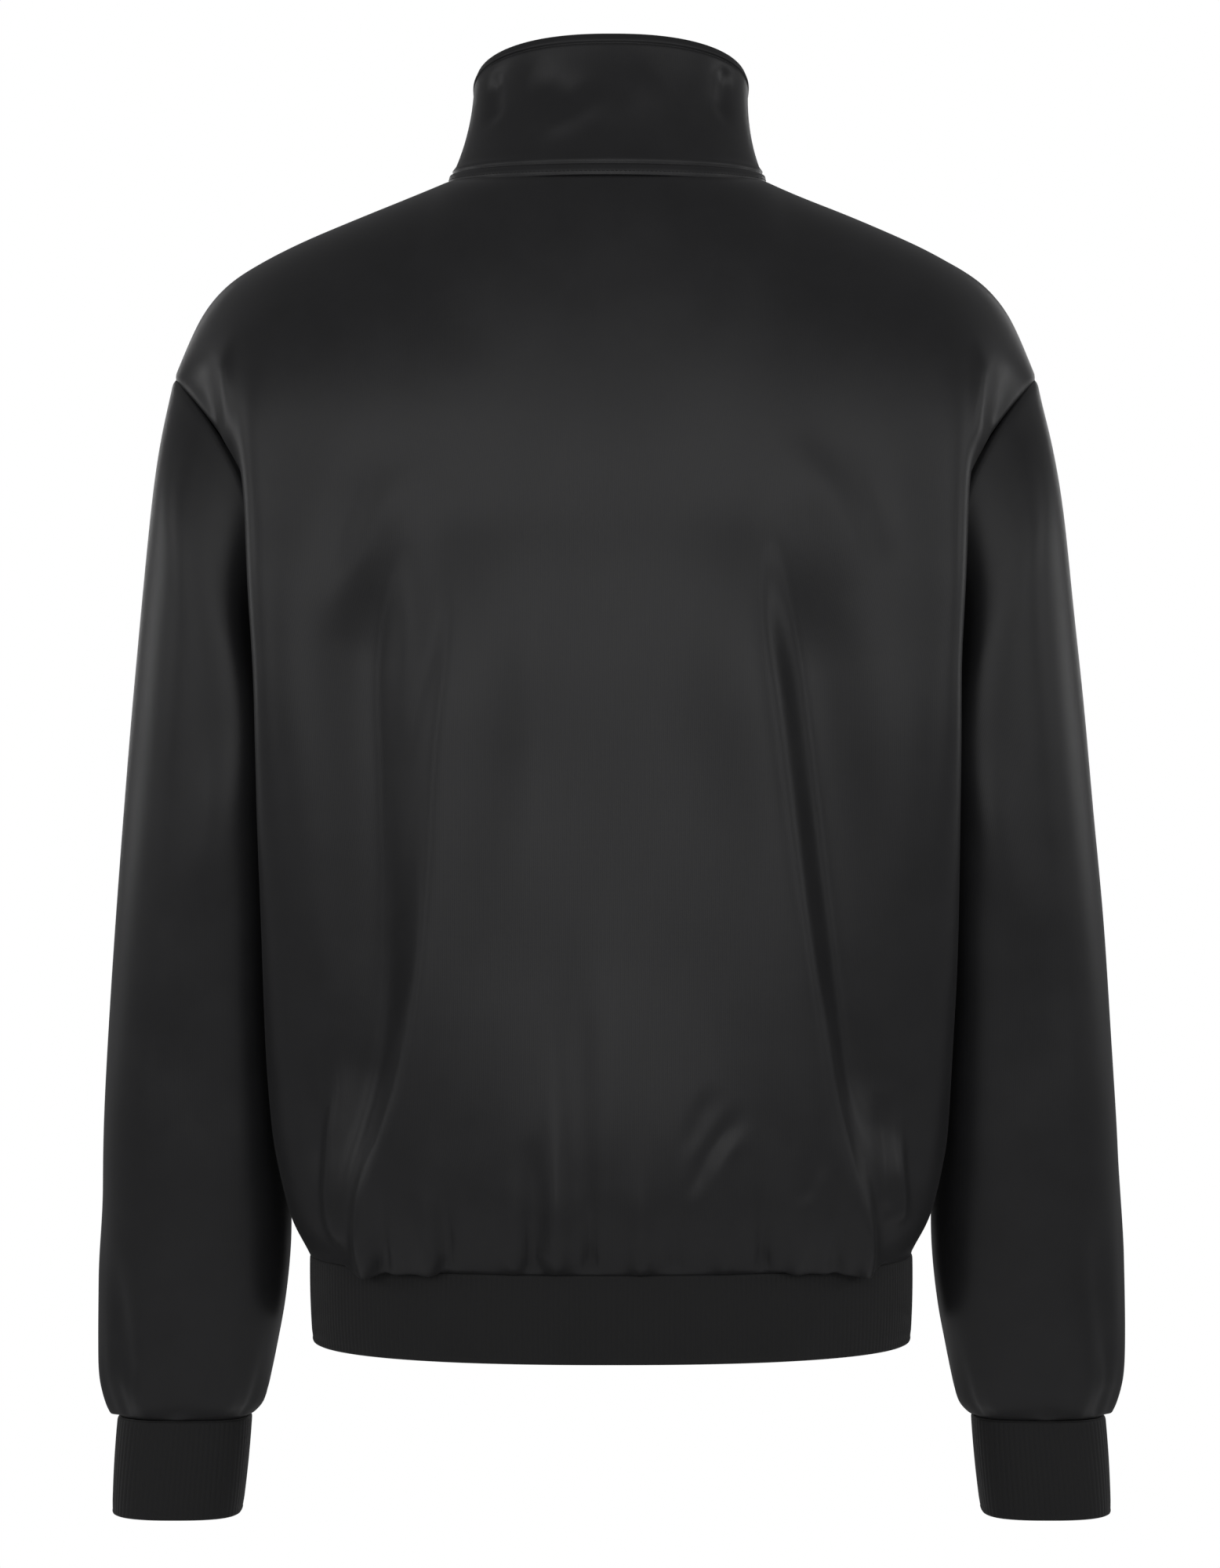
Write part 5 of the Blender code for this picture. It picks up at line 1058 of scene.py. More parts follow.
@dataclass(frozen=True)
class Finish:
    """A finish with a knitted or woven relief, read from the piece's own UV map in metres."""

    name: str
    dark: tuple[float, float, float]
    light: tuple[float, float, float]
    roughness: tuple[float, float]
    sheen: float
    sheen_roughness: float
    specular: float
    wale: float
    course: float
    fuzz: float
    bump: float
    coat: float = 0.0

    def material(self) -> bpy.types.Material:
        """The finish as a material, made once."""
        found = bpy.data.materials.get(self.name)
        if found:
            return found
        material = bpy.data.materials.new(self.name)
        material.use_nodes = True
        g = Graph(material.node_tree)
        place = g.add("ShaderNodeTexCoord").outputs["Object"]
        uv = g.add("ShaderNodeUVMap", uv_map="cloth").outputs["UV"]
        mottle = g.group("cloth_mottle", {"Place": place}).outputs["Mask"]
        colour = g.add("ShaderNodeMix", {"Factor": mottle}, data_type="RGBA")
        colour.inputs["A"].default_value = (*self.dark, 1.0)
        colour.inputs["B"].default_value = (*self.light, 1.0)
        low, high = self.roughness
        rough = g.add("ShaderNodeMapRange", {"Value": mottle, "To Min": low, "To Max": high})
        knit = {"Place": uv, "Wale": self.wale, "Course": self.course, "Fuzz": self.fuzz}
        relief = g.group("knit_relief", knit).outputs["Height"]
        bumped = g.add("ShaderNodeBump", {"Height": relief, "Strength": 1.0, "Distance": self.bump})
        look = {
            "Base Color": colour.outputs["Result"],
            "Roughness": rough.outputs["Result"],
            "Normal": bumped.outputs["Normal"],
            "Sheen Weight": self.sheen,
            "Sheen Roughness": self.sheen_roughness,
            "Specular IOR Level": self.specular,
            "Coat Weight": self.coat,
        }
        g.put(material.node_tree.nodes["Principled BSDF"], look)
        return material


GROUPS = {"knit_relief": knit_relief_group(), "cloth_mottle": cloth_mottle_group()}

SATIN = Finish(
    name="black_satin_tricot", dark=(0.0250, 0.0250, 0.0264), light=(0.0300, 0.0300, 0.0318),
    roughness=(0.36, 0.40), sheen=0.05, sheen_roughness=0.35, specular=0.50, wale=0.0007, course=0.0005,
    fuzz=0.5, bump=0.00002,
)
BRUSHED = Finish(
    name="black_brushed_back", dark=(0.0120, 0.0120, 0.0125), light=(0.0160, 0.0160, 0.0165),
    roughness=(0.80, 0.90), sheen=0.25, sheen_roughness=0.6, specular=0.25, wale=0.0009, course=0.0007,
    fuzz=2.0, bump=0.00008,
)
RIB_KNIT = Finish(
    name="black_rib_knit", dark=(0.0170, 0.0170, 0.0175), light=(0.0215, 0.0215, 0.0222),
    roughness=(0.62, 0.70), sheen=0.20, sheen_roughness=0.45, specular=0.40, wale=0.0007, course=0.0009,
    fuzz=1.2, bump=0.00006,
)
TAPE_WEAVE = Finish(
    name="black_zip_tape", dark=(0.0110, 0.0110, 0.0115), light=(0.0150, 0.0150, 0.0158),
    roughness=(0.60, 0.70), sheen=0.10, sheen_roughness=0.4, specular=0.35, wale=0.0008, course=0.0006,
    fuzz=0.5, bump=0.00010,
)
THREAD_FINISH = Finish(
    name="black_thread", dark=(0.0180, 0.0180, 0.0190), light=(0.0240, 0.0240, 0.0255),
    roughness=(0.38, 0.46), sheen=0.15, sheen_roughness=0.4, specular=0.50, wale=0.0003, course=0.0003,
    fuzz=0.2, bump=0.00001,
)
TEETH = Finish(
    name="black_coil_teeth", dark=(0.0110, 0.0110, 0.0115), light=(0.0140, 0.0140, 0.0146),
    roughness=(0.26, 0.34), sheen=0.0, sheen_roughness=0.5, specular=0.50, wale=0.0010, course=0.0010,
    fuzz=0.4, bump=0.00001,
)
ENAMEL = Finish(
    name="black_enamelled_metal", dark=(0.0180, 0.0180, 0.0190), light=(0.0260, 0.0260, 0.0275),
    roughness=(0.20, 0.30), sheen=0.0, sheen_roughness=0.5, specular=0.60, wale=0.0015, course=0.0015,
    fuzz=1.5, bump=0.00001, coat=0.4,
)


# ---- meshes ------------------------------------------------------------------------------------------
def linked(name: str, data: bpy.types.ID) -> bpy.types.Object:
    """A new object at the origin, in the scene."""
    obj = bpy.data.objects.new(name, data)
    bpy.context.scene.collection.objects.link(obj)
    return obj


def mesh_from(name: str, bm: bmesh.types.BMesh) -> bpy.types.Mesh:
    """A mesh of what is being edited, which is freed."""
    mesh = bpy.data.meshes.new(name)
    bm.to_mesh(mesh)
    bm.free()
    return mesh


def cloth_shell(name: str, outer: Net, wall: float, face: Finish, back: Finish) -> bpy.types.Object:
    """A closed thin shell: the net outside, the same net a wall's thickness inside, rims between.

    Args:
        name: The piece's name.
        outer: The net of its outside, with normals.
        wall: Its thickness.
        face: Finish of the outside and the rims.
        back: Finish of the inside.

    Returns:
        The object, with a UV map named cloth.
    """
    rows, columns = outer.points.shape[:2]
    inner = outer.points - outer.normals * wall
    count = rows * columns
    points = np.concatenate([outer.points.reshape(-1, 3), inner.reshape(-1, 3)])
    faces = grid_faces(rows, columns, outer.closed)
    middle = len(faces) // 2
    a, b, c, d = (points[faces[middle, i]] for i in range(4))
    flip = np.dot(np.cross(c - a, d - b), outer.normals.reshape(-1, 3)[faces[middle, 0]]) < 0
    if flip:
        faces = faces[:, ::-1]
    first, side = np.arange(columns), np.arange(rows) * columns
    edges = [(first, outer.closed, True), (count - columns + first, outer.closed, False)]
    if not outer.closed:
        edges += [(side, False, False), (side + columns - 1, False, True)]
    rims = [rim_faces(line, count, closed, turned != flip) for line, closed, turned in edges]
    everything = np.concatenate([faces, faces[:, ::-1] + count, *rims])
    mesh = bpy.data.meshes.new(name)
    mesh.from_pydata(points.tolist(), [], everything.tolist())
    mesh.materials.append(face.material())
    mesh.materials.append(back.material())
    mesh.shade_smooth()
    inside = np.zeros(len(everything), int)
    inside[len(faces) : 2 * len(faces)] = 1
    mesh.polygons.foreach_set("material_index", inside)
    corners = everything % count
    r, c = corners // columns, corners % columns
    if outer.closed:
        wraps = (c.max(axis=1, keepdims=True) == columns - 1) & (c.min(axis=1, keepdims=True) == 0)
        c = np.where(wraps & (c == 0), columns, c)
    layer = mesh.uv_layers.new(name="cloth")
    layer.data.foreach_set("uv", net_uv(outer)[r, c].reshape(-1).astype(np.float32))
    mesh.update()
    return linked(name, mesh)


def rim_faces(line: np.ndarray, count: int, closed: bool, turned: bool) -> np.ndarray:
    """Faces between an edge of the outside and the same edge of the inside, `count` points on."""
    run = np.stack([line, np.roll(line, -1)], axis=1)
    run = run if closed else run[:-1]
    run = run[:, ::-1] if turned else run
    return np.stack([run[:, 0], run[:, 1], run[:, 1] + count, run[:, 0] + count], axis=1)


def net_uv(net: Net) -> np.ndarray:
    """Places along and up a net in metres; the first is 0 at the middle column of an open net."""
    across, up = net.across(), net.up()
    if net.closed:
        across = np.concatenate([across, net.girth()[:, None]], axis=1)
        up = np.concatenate([up, up[:, :1]], axis=1)
        across = across - across[:, -1:] / 2
    else:
        middle = across.shape[1] // 2
        across = across - across[:, middle : middle + 1]
    return np.stack([across, np.repeat(up.mean(axis=1, keepdims=True), up.shape[1], axis=1)], axis=2)


def finished(obj: bpy.types.Object, body: str, slot: str, *nodes: str) -> bpy.types.Object:
    """Tie a piece to its body and hide the CAD nodes that it stands for."""
    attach(obj, body)
    if nodes:
        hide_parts(*nodes)
    log.info("%s: %d faces", obj.name, len(obj.data.polygons))
    return obj


# ---- geometry nodes ----------------------------------------------------------------------------------
class GrowTree(Graph):
    """A Geometry Nodes tree whose first input and output are geometry."""

    def __init__(self, name: str, inputs: dict[str, tuple[str, object]]) -> None:
        """Make the tree.

        Args:
            name: The tree's name.
            inputs: Socket type and default of each named input.
        """
        super().__init__(bpy.data.node_groups.new(name, "GeometryNodeTree"))
        new_socket = self.tree.interface.new_socket
        new_socket("Geometry", in_out="INPUT", socket_type="NodeSocketGeometry")
        new_socket("Geometry", in_out="OUTPUT", socket_type="NodeSocketGeometry")
        inputs = {**inputs, "Finish": ("NodeSocketMaterial", None)}
        for label, (kind, default) in inputs.items():
            socket = new_socket(label, in_out="INPUT", socket_type=kind)
            if default is not None:
                socket.default_value = default
        self.given = self.tree.nodes.new("NodeGroupInput").outputs
        self.sink = self.tree.nodes.new("NodeGroupOutput")

    def line_points(self) -> bpy.types.Node:
        """Points along the given line, one every pitch."""
        links = {0: self.given["Geometry"], "Length": self.given["Pitch"]}
        return self.add("GeometryNodeCurveToPoints", links, mode="LENGTH")

    def facing(self, axis: str, vector: object, **settings: object) -> bpy.types.Node:
        """A rotation that turns an axis along a vector."""
        return self.add("FunctionNodeAlignRotationToVector", {"Vector": vector}, axis=axis, **settings)

    def moved(self, points: bpy.types.NodeSocket, offset: bpy.types.Node) -> bpy.types.NodeSocket:
        """The points, moved by a vector."""
        return self.add("GeometryNodeSetPosition", {0: points, "Offset": offset.outputs[0]}).outputs[0]

    def closed(self, geometry: bpy.types.NodeSocket, smooth: bool = False) -> bpy.types.NodeTree:
        """The tree, ended: its instances made real and given their finish."""
        real = self.add("GeometryNodeRealizeInstances", {0: geometry})
        if smooth:
            real = self.add("GeometryNodeSetShadeSmooth", {0: real.outputs[0]})
        dressed = self.add("GeometryNodeSetMaterial", {0: real.outputs[0], "Material": self.given["Finish"]})
        self.tree.links.new(dressed.outputs[0], self.sink.inputs[0])
        return self.tree


def stitch_tree() -> bpy.types.NodeTree:
    """Stitches along a curve: short flattened beads, one every pitch."""
    sizes = {"Pitch": STITCH_PITCH, "Long": STITCH_LONG, "Thread": THREAD}
    g = GrowTree("stitches", {label: ("NodeSocketFloat", size) for label, size in sizes.items()})
    points = g.line_points()
    bead = g.add("GeometryNodeMeshUVSphere", {"Segments": 8, "Rings": 6, "Radius": 0.5})
    size = g.add("ShaderNodeCombineXYZ", {0: g.given["Thread"], 1: g.given["Thread"], 2: g.given["Long"]})
    placed = {
        "Points": points.outputs["Points"],
        "Instance": bead.outputs["Mesh"],
        "Rotation": g.facing("Z", points.outputs["Tangent"]).outputs[0],
        "Scale": size.outputs[0],
    }
    return g.closed(g.add("GeometryNodeInstanceOnPoints", placed).outputs[0], smooth=True)


def teeth_tree() -> bpy.types.NodeTree:
    """Coil teeth along a curve: one every pitch, from the two tapes in turn."""
    inputs = {
        "Pitch": ("NodeSocketFloat", TOOTH_PITCH),
        "Offset": ("NodeSocketFloat", CHAIN_HALF / 3),
        "Tooth": ("NodeSocketObject", None),
    }
    g = GrowTree("coil_teeth", inputs)
    points = g.line_points()
    odd = g.math("MODULO", g.add("GeometryNodeInputIndex").outputs[0], 2.0)
    side = g.math("MULTIPLY_ADD", odd, 2.0, -1.0)
    shift = g.add("ShaderNodeCombineXYZ", {0: g.math("MULTIPLY", side, g.given["Offset"])})
    along = g.facing("Z", points.outputs["Tangent"])
    g.put(along, {"Rotation": g.facing("X", (1.0, 0.0, 0.0), pivot_axis="Z").outputs[0]})
    placed = {
        "Points": g.moved(points.outputs["Points"], shift),
        "Instance": g.add("GeometryNodeObjectInfo", {0: g.given["Tooth"]}).outputs["Geometry"],
        "Rotation": along.outputs[0],
    }
    return g.closed(g.add("GeometryNodeInstanceOnPoints", placed).outputs[0])


def rib_tree() -> bpy.types.NodeTree:
    """Ribs of a knitted band: points move out by their place round it, where the band says so."""
    sizes = {"Pitch": RIB_PITCH, "Rise": RIB_RISE}
    g = GrowTree("ribs", {label: ("NodeSocketFloat", size) for label, size in sizes.items()})
    place, skin = (
        g.add("GeometryNodeInputNamedAttribute", {"Name": name}, data_type="FLOAT").outputs[0]
        for name in ("wale", "skin")
    )
    phase = g.math("MULTIPLY", g.math("DIVIDE", place, g.given["Pitch"]), math.pi)
    arch = g.math("POWER", g.math("ABSOLUTE", g.math("SINE", phase)), RIB_ARCH)
    lift = g.math("MULTIPLY", g.math("MULTIPLY", arch, skin), g.given["Rise"])
    normal = g.add("GeometryNodeInputNormal").outputs[0]
    offset = g.add("ShaderNodeVectorMath", {0: normal, "Scale": lift}, operation="SCALE")
    return g.closed(g.moved(g.given["Geometry"], offset))


def grown(name: str, base: bpy.types.Object, tree: bpy.types.NodeTree, **values: object) -> bpy.types.Object:
    """Run a tree on an object and keep the result as a plain mesh object.

    Args:
        name: The new object's name.
        base: The object that the tree reads; it is removed.
        tree: The Geometry Nodes tree.
        **values: Its inputs by name.

    Returns:
        The new object.
    """
    modifier = base.modifiers.new("grow", "NODES")
    modifier.node_group = tree
    for item in tree.interface.items_tree:
        if item.item_type == "SOCKET" and item.in_out == "INPUT" and item.name in values:
            modifier[item.identifier] = values[item.name]
    bpy.context.view_layer.update()
    result = base.evaluated_get(bpy.context.evaluated_depsgraph_get())
    mesh = bpy.data.meshes.new_from_object(result)
    mesh.name = name
    bpy.data.objects.remove(base)
    return linked(name, mesh)


def line_object(name: str, *runs: np.ndarray) -> bpy.types.Object:
    """A curve object of open lines."""
    curve = bpy.data.curves.new(name, "CURVE")
    curve.dimensions = "3D"
    for run in runs:
        spline = curve.splines.new("POLY")
        spline.points.add(len(run) - 1)
        flat = np.concatenate([run, np.ones((len(run), 1))], axis=1)
        spline.points.foreach_set("co", flat.reshape(-1))
    return linked(name, curve)


class Band(NamedTuple):
    """A soft step or swell across the collar or a ribbed band: height above its foot, half width, rise."""

    height: float
    reach: float
    rise: float


@dataclass
class SatinCloth:
    """Back, fronts, sleeves and collar, folded as they hang and rolled in at their seams.

    A fade is a distance from a seam in which the folds die out; the collar's are shares of its height.
    """

    cut: Cut
    wall: float = WALL
    wave: Wave = Wave()
    panel_seed: int = 7
    sleeve_seed: int = 11
    side_fade: float = 0.010
    zip_fade: float = 0.012
    hem_fade: float = 0.004
    shoulder_fade: float = 0.015
    armhole_fade: float = 0.020
    cuff_fade: float = 0.004
    gather_girth: float = 0.8  # the sleeve's girth at the cuff, as a share of its mean
    welt_fade: tuple[float, float] = (0.09, 0.12)  # from, and over
    edge_fade: tuple[float, float] = (0.94, 0.10)
    welt: Band = Band(WELT_TALL, 0.0012, WELT_RISE)
    edge: Band = Band(COLLAR_TALL - EDGE_TALL, 0.0010, EDGE_RISE)
    swells: tuple[Band, ...] = (
        Band(WELT_TALL + 0.0006, 0.0008, -0.0007),
        Band(WELT_TALL + 0.0030, 0.0018, 0.0008),
        Band(COLLAR_TALL - EDGE_TALL, 0.0007, -0.0004),
    )

    def build(self) -> None:
        """Work out the folded nets of all six pieces."""
        cut = self.cut
        self.sag: dict[str, np.ndarray] = {}
        back_half, front_half = cut.half_panel(True), cut.half_panel(False)
        sleeve, around = cut.sleeve(back_half, front_half)
        back = np.concatenate([back_half[:, ::-1], mirror(back_half)[:, 1:]], axis=1)
        right, left = mirror(front_half)[:, ::-1], front_half
        ease = cut.grain.ease
        self.nets = {
            "back": Net(back, False).eased(ease),
            "front_right": Net(right, False).eased(ease),
            "front_left": Net(left, False).eased(ease),
            "sleeve_left": Net(sleeve, True).eased(ease),
            "sleeve_right": Net(mirror(sleeve)[:, ::-1], True).eased(ease),
            "collar": Net(cut.collar(back, right, left), False),
        }
        shared_normals(list(self.nets.values()))
        side, front = self.side_fade, self.zip_fade
        lifts = {
            "back": self.panel_lift("back", BACK_CREASES, BACK_GATHERS, (side, side)),
            "front_right": self.panel_lift("front_right", FRONT_CREASES, FRONT_GATHERS, (side, front)),
            "front_left": self.panel_lift("front_left", FRONT_CREASES, FRONT_GATHERS, (front, side)),
            "sleeve_left": self.sleeve_lift("sleeve_left", around, LEFT_SLEEVE_CREASES),
            "sleeve_right": self.sleeve_lift("sleeve_right", around[::-1], RIGHT_SLEEVE_CREASES),
            "collar": self.collar_lift(),
        }
        rolls = {name: self.edge_roll(name) for name in self.nets}
        for name, net in self.nets.items():
            net.points = lean(net.points + net.normals * lifts[name][..., None])
            if name in self.sag:
                net.points[..., 2] -= self.sag[name]
        shared_normals(list(self.nets.values()))
        for name, net in self.nets.items():
            net.points = net.points + net.normals * rolls[name][..., None]
            if name in self.sag:
                net.points[..., 2] -= SEAM_DROP * bump(net.up(), 0.0, SEAM_DROP_REACH)
        self.raise_collar_bands()

    def panel_lift(
        self, name: str, creases: tuple[Crease, ...], gathers: tuple[Gather, ...], sides: tuple[float, float]
    ) -> np.ndarray:
        """Folds, gathers and waves of a body panel, dying out at its seams.

        Args:
            name: The panel's name.
            creases: Its folds.
            gathers: Its pleats over the waistband.
            sides: Fades at its first and last column.

        Returns:
            The lift in metres at each point.
        """
        net = self.nets[name]
        x, z = net.points[..., 0], net.points[..., 2]
        lift = sum(crease_lift(crease, x, z, (1.0, 1.0)) for crease in creases)
        over = np.maximum(z - HEM_SEAM_Z, 0)
        pleats = gather_lift(gathers, x[..., None] - column(gathers, "at"), over)
        self.sag[name] = SAG * pleats * bump(over, 0.0, SAG_REACH)
        lift = lift + pleats
        lift = lift + unevenness(net.points, self.wave, self.panel_seed)
        across, up = net.across(), net.up()
        fade = smoothstep(across / sides[0]) * smoothstep((across[:, -1:] - across) / sides[1])
        top = smoothstep((up[-1:] - up) / self.shoulder_fade)
        return lift * fade * smoothstep(up / self.hem_fade) * top

    def sleeve_lift(self, name: str, around: np.ndarray, creases: tuple[Crease, ...]) -> np.ndarray:
        """Folds, gathers and waves of a sleeve; widths are taken on its mean girth.

        Args:
            name: The sleeve's name.
            around: Each column's share of the way round.
            creases: Its folds.

        Returns:
            The lift in metres at each point.
        """
        net = self.nets[name]
        girth = float(net.girth().mean())
        z = net.points[..., 2]
        lift = np.zeros_like(z)
        for crease in creases:
            middle = float(np.mean([p[0] for p in crease.line]))
            share = (around - middle + 0.5) % 1.0 - 0.5 + middle
            lift += crease_lift(crease, np.broadcast_to(share, z.shape).copy(), z, (girth, 1.0))
        aside = (around[None, :, None] - column(SLEEVE_GATHERS, "at") + 0.5) % 1.0 - 0.5
        aside = np.broadcast_to(aside * girth * self.gather_girth, z.shape + (len(SLEEVE_GATHERS),))
        lift += gather_lift(SLEEVE_GATHERS, aside, np.maximum(z - z[-1], 0))
        lift += unevenness(net.points, self.wave, self.sleeve_seed)
        down = net.up()
        end = smoothstep((down[-1:] - down) / self.cuff_fade)
        return lift * smoothstep(down / self.armhole_fade) * end

    def collar_lift(self) -> np.ndarray:
        """Soft folds between the collar's welt and its turned edge."""
        net = self.nets["collar"]
        shape = net.points.shape[:2]
        up = np.broadcast_to(self.cut.collar_rows()[:, None], shape).copy()
        around = np.broadcast_to(np.linspace(0, 1, shape[1]), shape).copy()
        ring = float(net.girth()[0])
        lift = sum(crease_lift(c, around, up, (ring, COLLAR_TALL)) for c in COLLAR_CREASES)
        low = smoothstep((up - self.welt_fade[0]) / self.welt_fade[1])
        return lift * low * smoothstep((self.edge_fade[0] - up) / self.edge_fade[1])

    def edge_roll(self, name: str) -> np.ndarray:
        """How a piece's edges turn in at its seams."""
        net = self.nets[name]
        up = net.up()
        roll = seam_roll(up) + seam_roll(up[-1:] - up)
        if not net.closed:
            across = net.across()
            roll = roll + seam_roll(across) + seam_roll(across[:, -1:] - across)
        return np.maximum(roll, -SEAM_SINK)

    def raise_collar_bands(self) -> None:
        """The band over the neck seam and the turned top edge stand proud of the collar."""
        net = self.nets["collar"]
        height = (self.cut.collar_rows() * COLLAR_TALL)[:, None]
        lift = smoothstep((self.welt.height - height) / self.welt.reach) * self.welt.rise
        lift = lift + smoothstep((height - self.edge.height) / self.edge.reach) * self.edge.rise
        for swell in self.swells:
            lift = lift + swell.rise * bump(height, swell.height, swell.reach)
        net.points = net.points + net.normals * lift[..., None]

    def dress(self) -> None:
        """Make the six shells and hide the CAD pieces that they stand for."""
        for name, net in self.nets.items():
            obj = cloth_shell(name + "_satin", net, self.wall, SATIN, BRUSHED)
            finished(obj, "jacket", "satin", name)


# ---- ribbed bands ------------------------------------------------------------------------------------
@dataclass
class RibbedBand:
    """A knitted band: a thin shell whose outside is raised in ribs and whose foot is turned."""

    name: str
    node: str
    top: np.ndarray
    foot: np.ndarray
    closed: bool
    flat: tuple[float, float]
    bulge: float = 0.0006
    bulge_power: float = 0.8
    rows: int = 16
    steps: int = 6  # round each rib
    wall: float = RIB_WALL
    turn: float = 0.0009  # rounding of its edges
    steepest: float = 0.999  # share of that, so that an edge keeps a slope
    edge_rows: tuple[float, ...] = (0, 0.0004, 0.0009, 0.0016, 0.0026)
    fold: Band = Band(0.0030, 0.0008, -0.00025)
    plain: float = 0.002  # at its edges, where the ribs die out

    def build(self, tree: bpy.types.NodeTree) -> bpy.types.Object:
        """Make the band.

        Args:
            tree: The tree that raises the ribs.

        Returns:
            The finished piece.
        """
        girth = lengths(self.top)[-1]
        ribs = round(girth / RIB_PITCH)
        shares = np.linspace(0, 1, ribs * self.steps + 1)
        if self.closed:
            shares = shares[:-1]
        top, foot = resample(self.top, shares), resample(self.foot, shares)
        tall = float(np.linalg.norm(top[0] - foot[0]))
        ends = np.array(self.edge_rows) / tall
        t = np.unique(np.concatenate([np.linspace(0, 1, self.rows), ends, 1 - ends]))[:, None, None]
        points = foot + (top - foot) * t
        net = Net(points, self.closed)
        shared_normals([net])
        net.normals = unit(net.normals * np.array([1.0, 1.0, 0.0]))
        height = t[..., 0] * tall
        lift = self.rounding(height) + self.rounding(tall - height)
        lift = lift + self.bulge * np.sin(math.pi * t[..., 0]) ** self.bulge_power
        lift = lift + self.fold.rise * bump(height, self.fold.height, self.fold.reach)
        net.points = net.points + net.normals * lift[..., None]
        obj = cloth_shell(self.name, net, self.wall, RIB_KNIT, RIB_KNIT)
        self.mark(obj, net, height)
        knit = RIB_KNIT.material()
        obj = grown(self.name, obj, tree, Pitch=RIB_PITCH, Rise=RIB_RISE, Finish=knit)
        finished(obj, "jacket", "rib_knit", self.node)
        return obj

    def rounding(self, height: np.ndarray) -> np.ndarray:
        """How an edge turns in, by the height from it."""
        near = np.clip(1 - height / self.turn, 0, self.steepest)
        return -self.turn * (1 - np.sqrt(1 - near**2))

    def mark(self, obj: bpy.types.Object, net: Net, height: np.ndarray) -> None:
        """Write each point's place round the band, and whether ribs raise it."""
        shape = net.points.shape[:2]
        wale = np.broadcast_to(np.arange(shape[1]) / self.steps * RIB_PITCH, shape)
        ends = smoothstep(height / self.plain) * smoothstep((height[-1, 0] - height) / self.plain)
        skin = np.broadcast_to(ends, shape)
        layers = {"wale": (wale, wale), "skin": (skin, np.zeros_like(skin))}
        for name, (outer, inner) in layers.items():
            attribute = obj.data.attributes.new(name, "FLOAT", "POINT")
            values = np.concatenate([outer.reshape(-1), inner.reshape(-1)])
            attribute.data.foreach_set("value", values.astype(np.float32))


def hem_lines() -> tuple[np.ndarray, np.ndarray]:
    """Top and foot of the waistband, from the right front edge by the back to the left one."""
    back, front = half_ring(HEM_SEAM_Z, True), half_ring(HEM_SEAM_Z, False)
    half = np.concatenate([front, back[::-1][1:]])
    top = np.concatenate([mirror(half), half[::-1][1:]])
    foot = top * np.array([HEM_TAPER, HEM_TAPER, 1.0])
    foot[:, 2] = HEM_BOTTOM_Z
    foot[[0, -1], 0] = top[[0, -1], 0]
    return lean(top), lean(foot)


def cuff_line(row: CuffRow, side: float) -> np.ndarray:
    """A closed line round a cuff, from its inner line."""
    turn = math.pi + np.linspace(0, 2 * math.pi, CUFF_STEPS)
    last = SLEEVE[-1]
    row_ring = SleeveRow(0, row.outer_x, 0, row.inner_x, last.middle_y, row.half_depth, last.shear)
    ring = sleeve_ring(row_ring, turn)
    ring[:, 2] = last.outer_z - CUFF_DROP * row.drop
    return lean(ring * np.array([side, 1.0, 1.0]))


# ---- topstitching ------------------------------------------------------------------------------------
@dataclass
class Topstitching:
    """Rows of stitches along the neck seam, the collar's top edge and the front edges."""

    cloth: SatinCloth
    edge: float = 0.0060  # from a front edge to its row
    above: float = THREAD * 0.15  # the cloth
    heights: tuple[float, float] = (0.0016, COLLAR_TALL - EDGE_TALL - 0.0004)
    collar_trim: int = 4  # points left out at each end of a row
    front_trim: tuple[int, int] = (6, -4)
    collar_front_trim: tuple[int, int] = (8, -10)
    nearest: int = 24  # columns read beside an edge

    def runs(self) -> list[np.ndarray]:
        """The lines that the stitches follow, a little above the cloth."""
        nets = self.cloth.nets
        collar = nets["collar"]
        rows = self.cloth.cut.collar_rows() * COLLAR_TALL
        runs = []
        for height in self.heights:
            r = int(np.argmin(np.abs(rows - height)))
            line = collar.points[r] + collar.normals[r] * self.above
            runs.append(line[self.collar_trim : -self.collar_trim])
        runs.append(self.beside_edge(nets["front_left"], True, self.front_trim))
        runs.append(self.beside_edge(nets["front_right"], False, self.front_trim))
        runs.append(self.beside_edge(collar, True, self.collar_front_trim))
        runs.append(self.beside_edge(collar, False, self.collar_front_trim))
        return runs

    def beside_edge(self, net: Net, first: bool, trim: tuple[int, int]) -> np.ndarray:
        """A line at a fixed distance from a net's first or last column.

        Args:
            net: The cloth.
            first: Whether the line lies beside its first column.
            trim: Rows left out at the foot and, below 0, at the top.

        Returns:
            The line's points.
        """
        across = net.across()
        distance = across if first else across[:, -1:] - across
        line = []
        for r in range(trim[0], net.points.shape[0] + trim[1]):
            order = np.argsort(distance[r])[: self.nearest]
            d = distance[r][order]
            p = net.points[r][order] + net.normals[r][order] * self.above
            line.append([np.interp(self.edge, d, p[:, k]) for k in range(3)])
        return np.array(line)

    def build(self) -> bpy.types.Object:
        """Make all the stitches as one piece."""
        base = line_object("stitch_lines", *self.runs())
        obj = grown("topstitching", base, stitch_tree(), Finish=THREAD_FINISH.material())
        return finished(obj, "jacket", "satin")


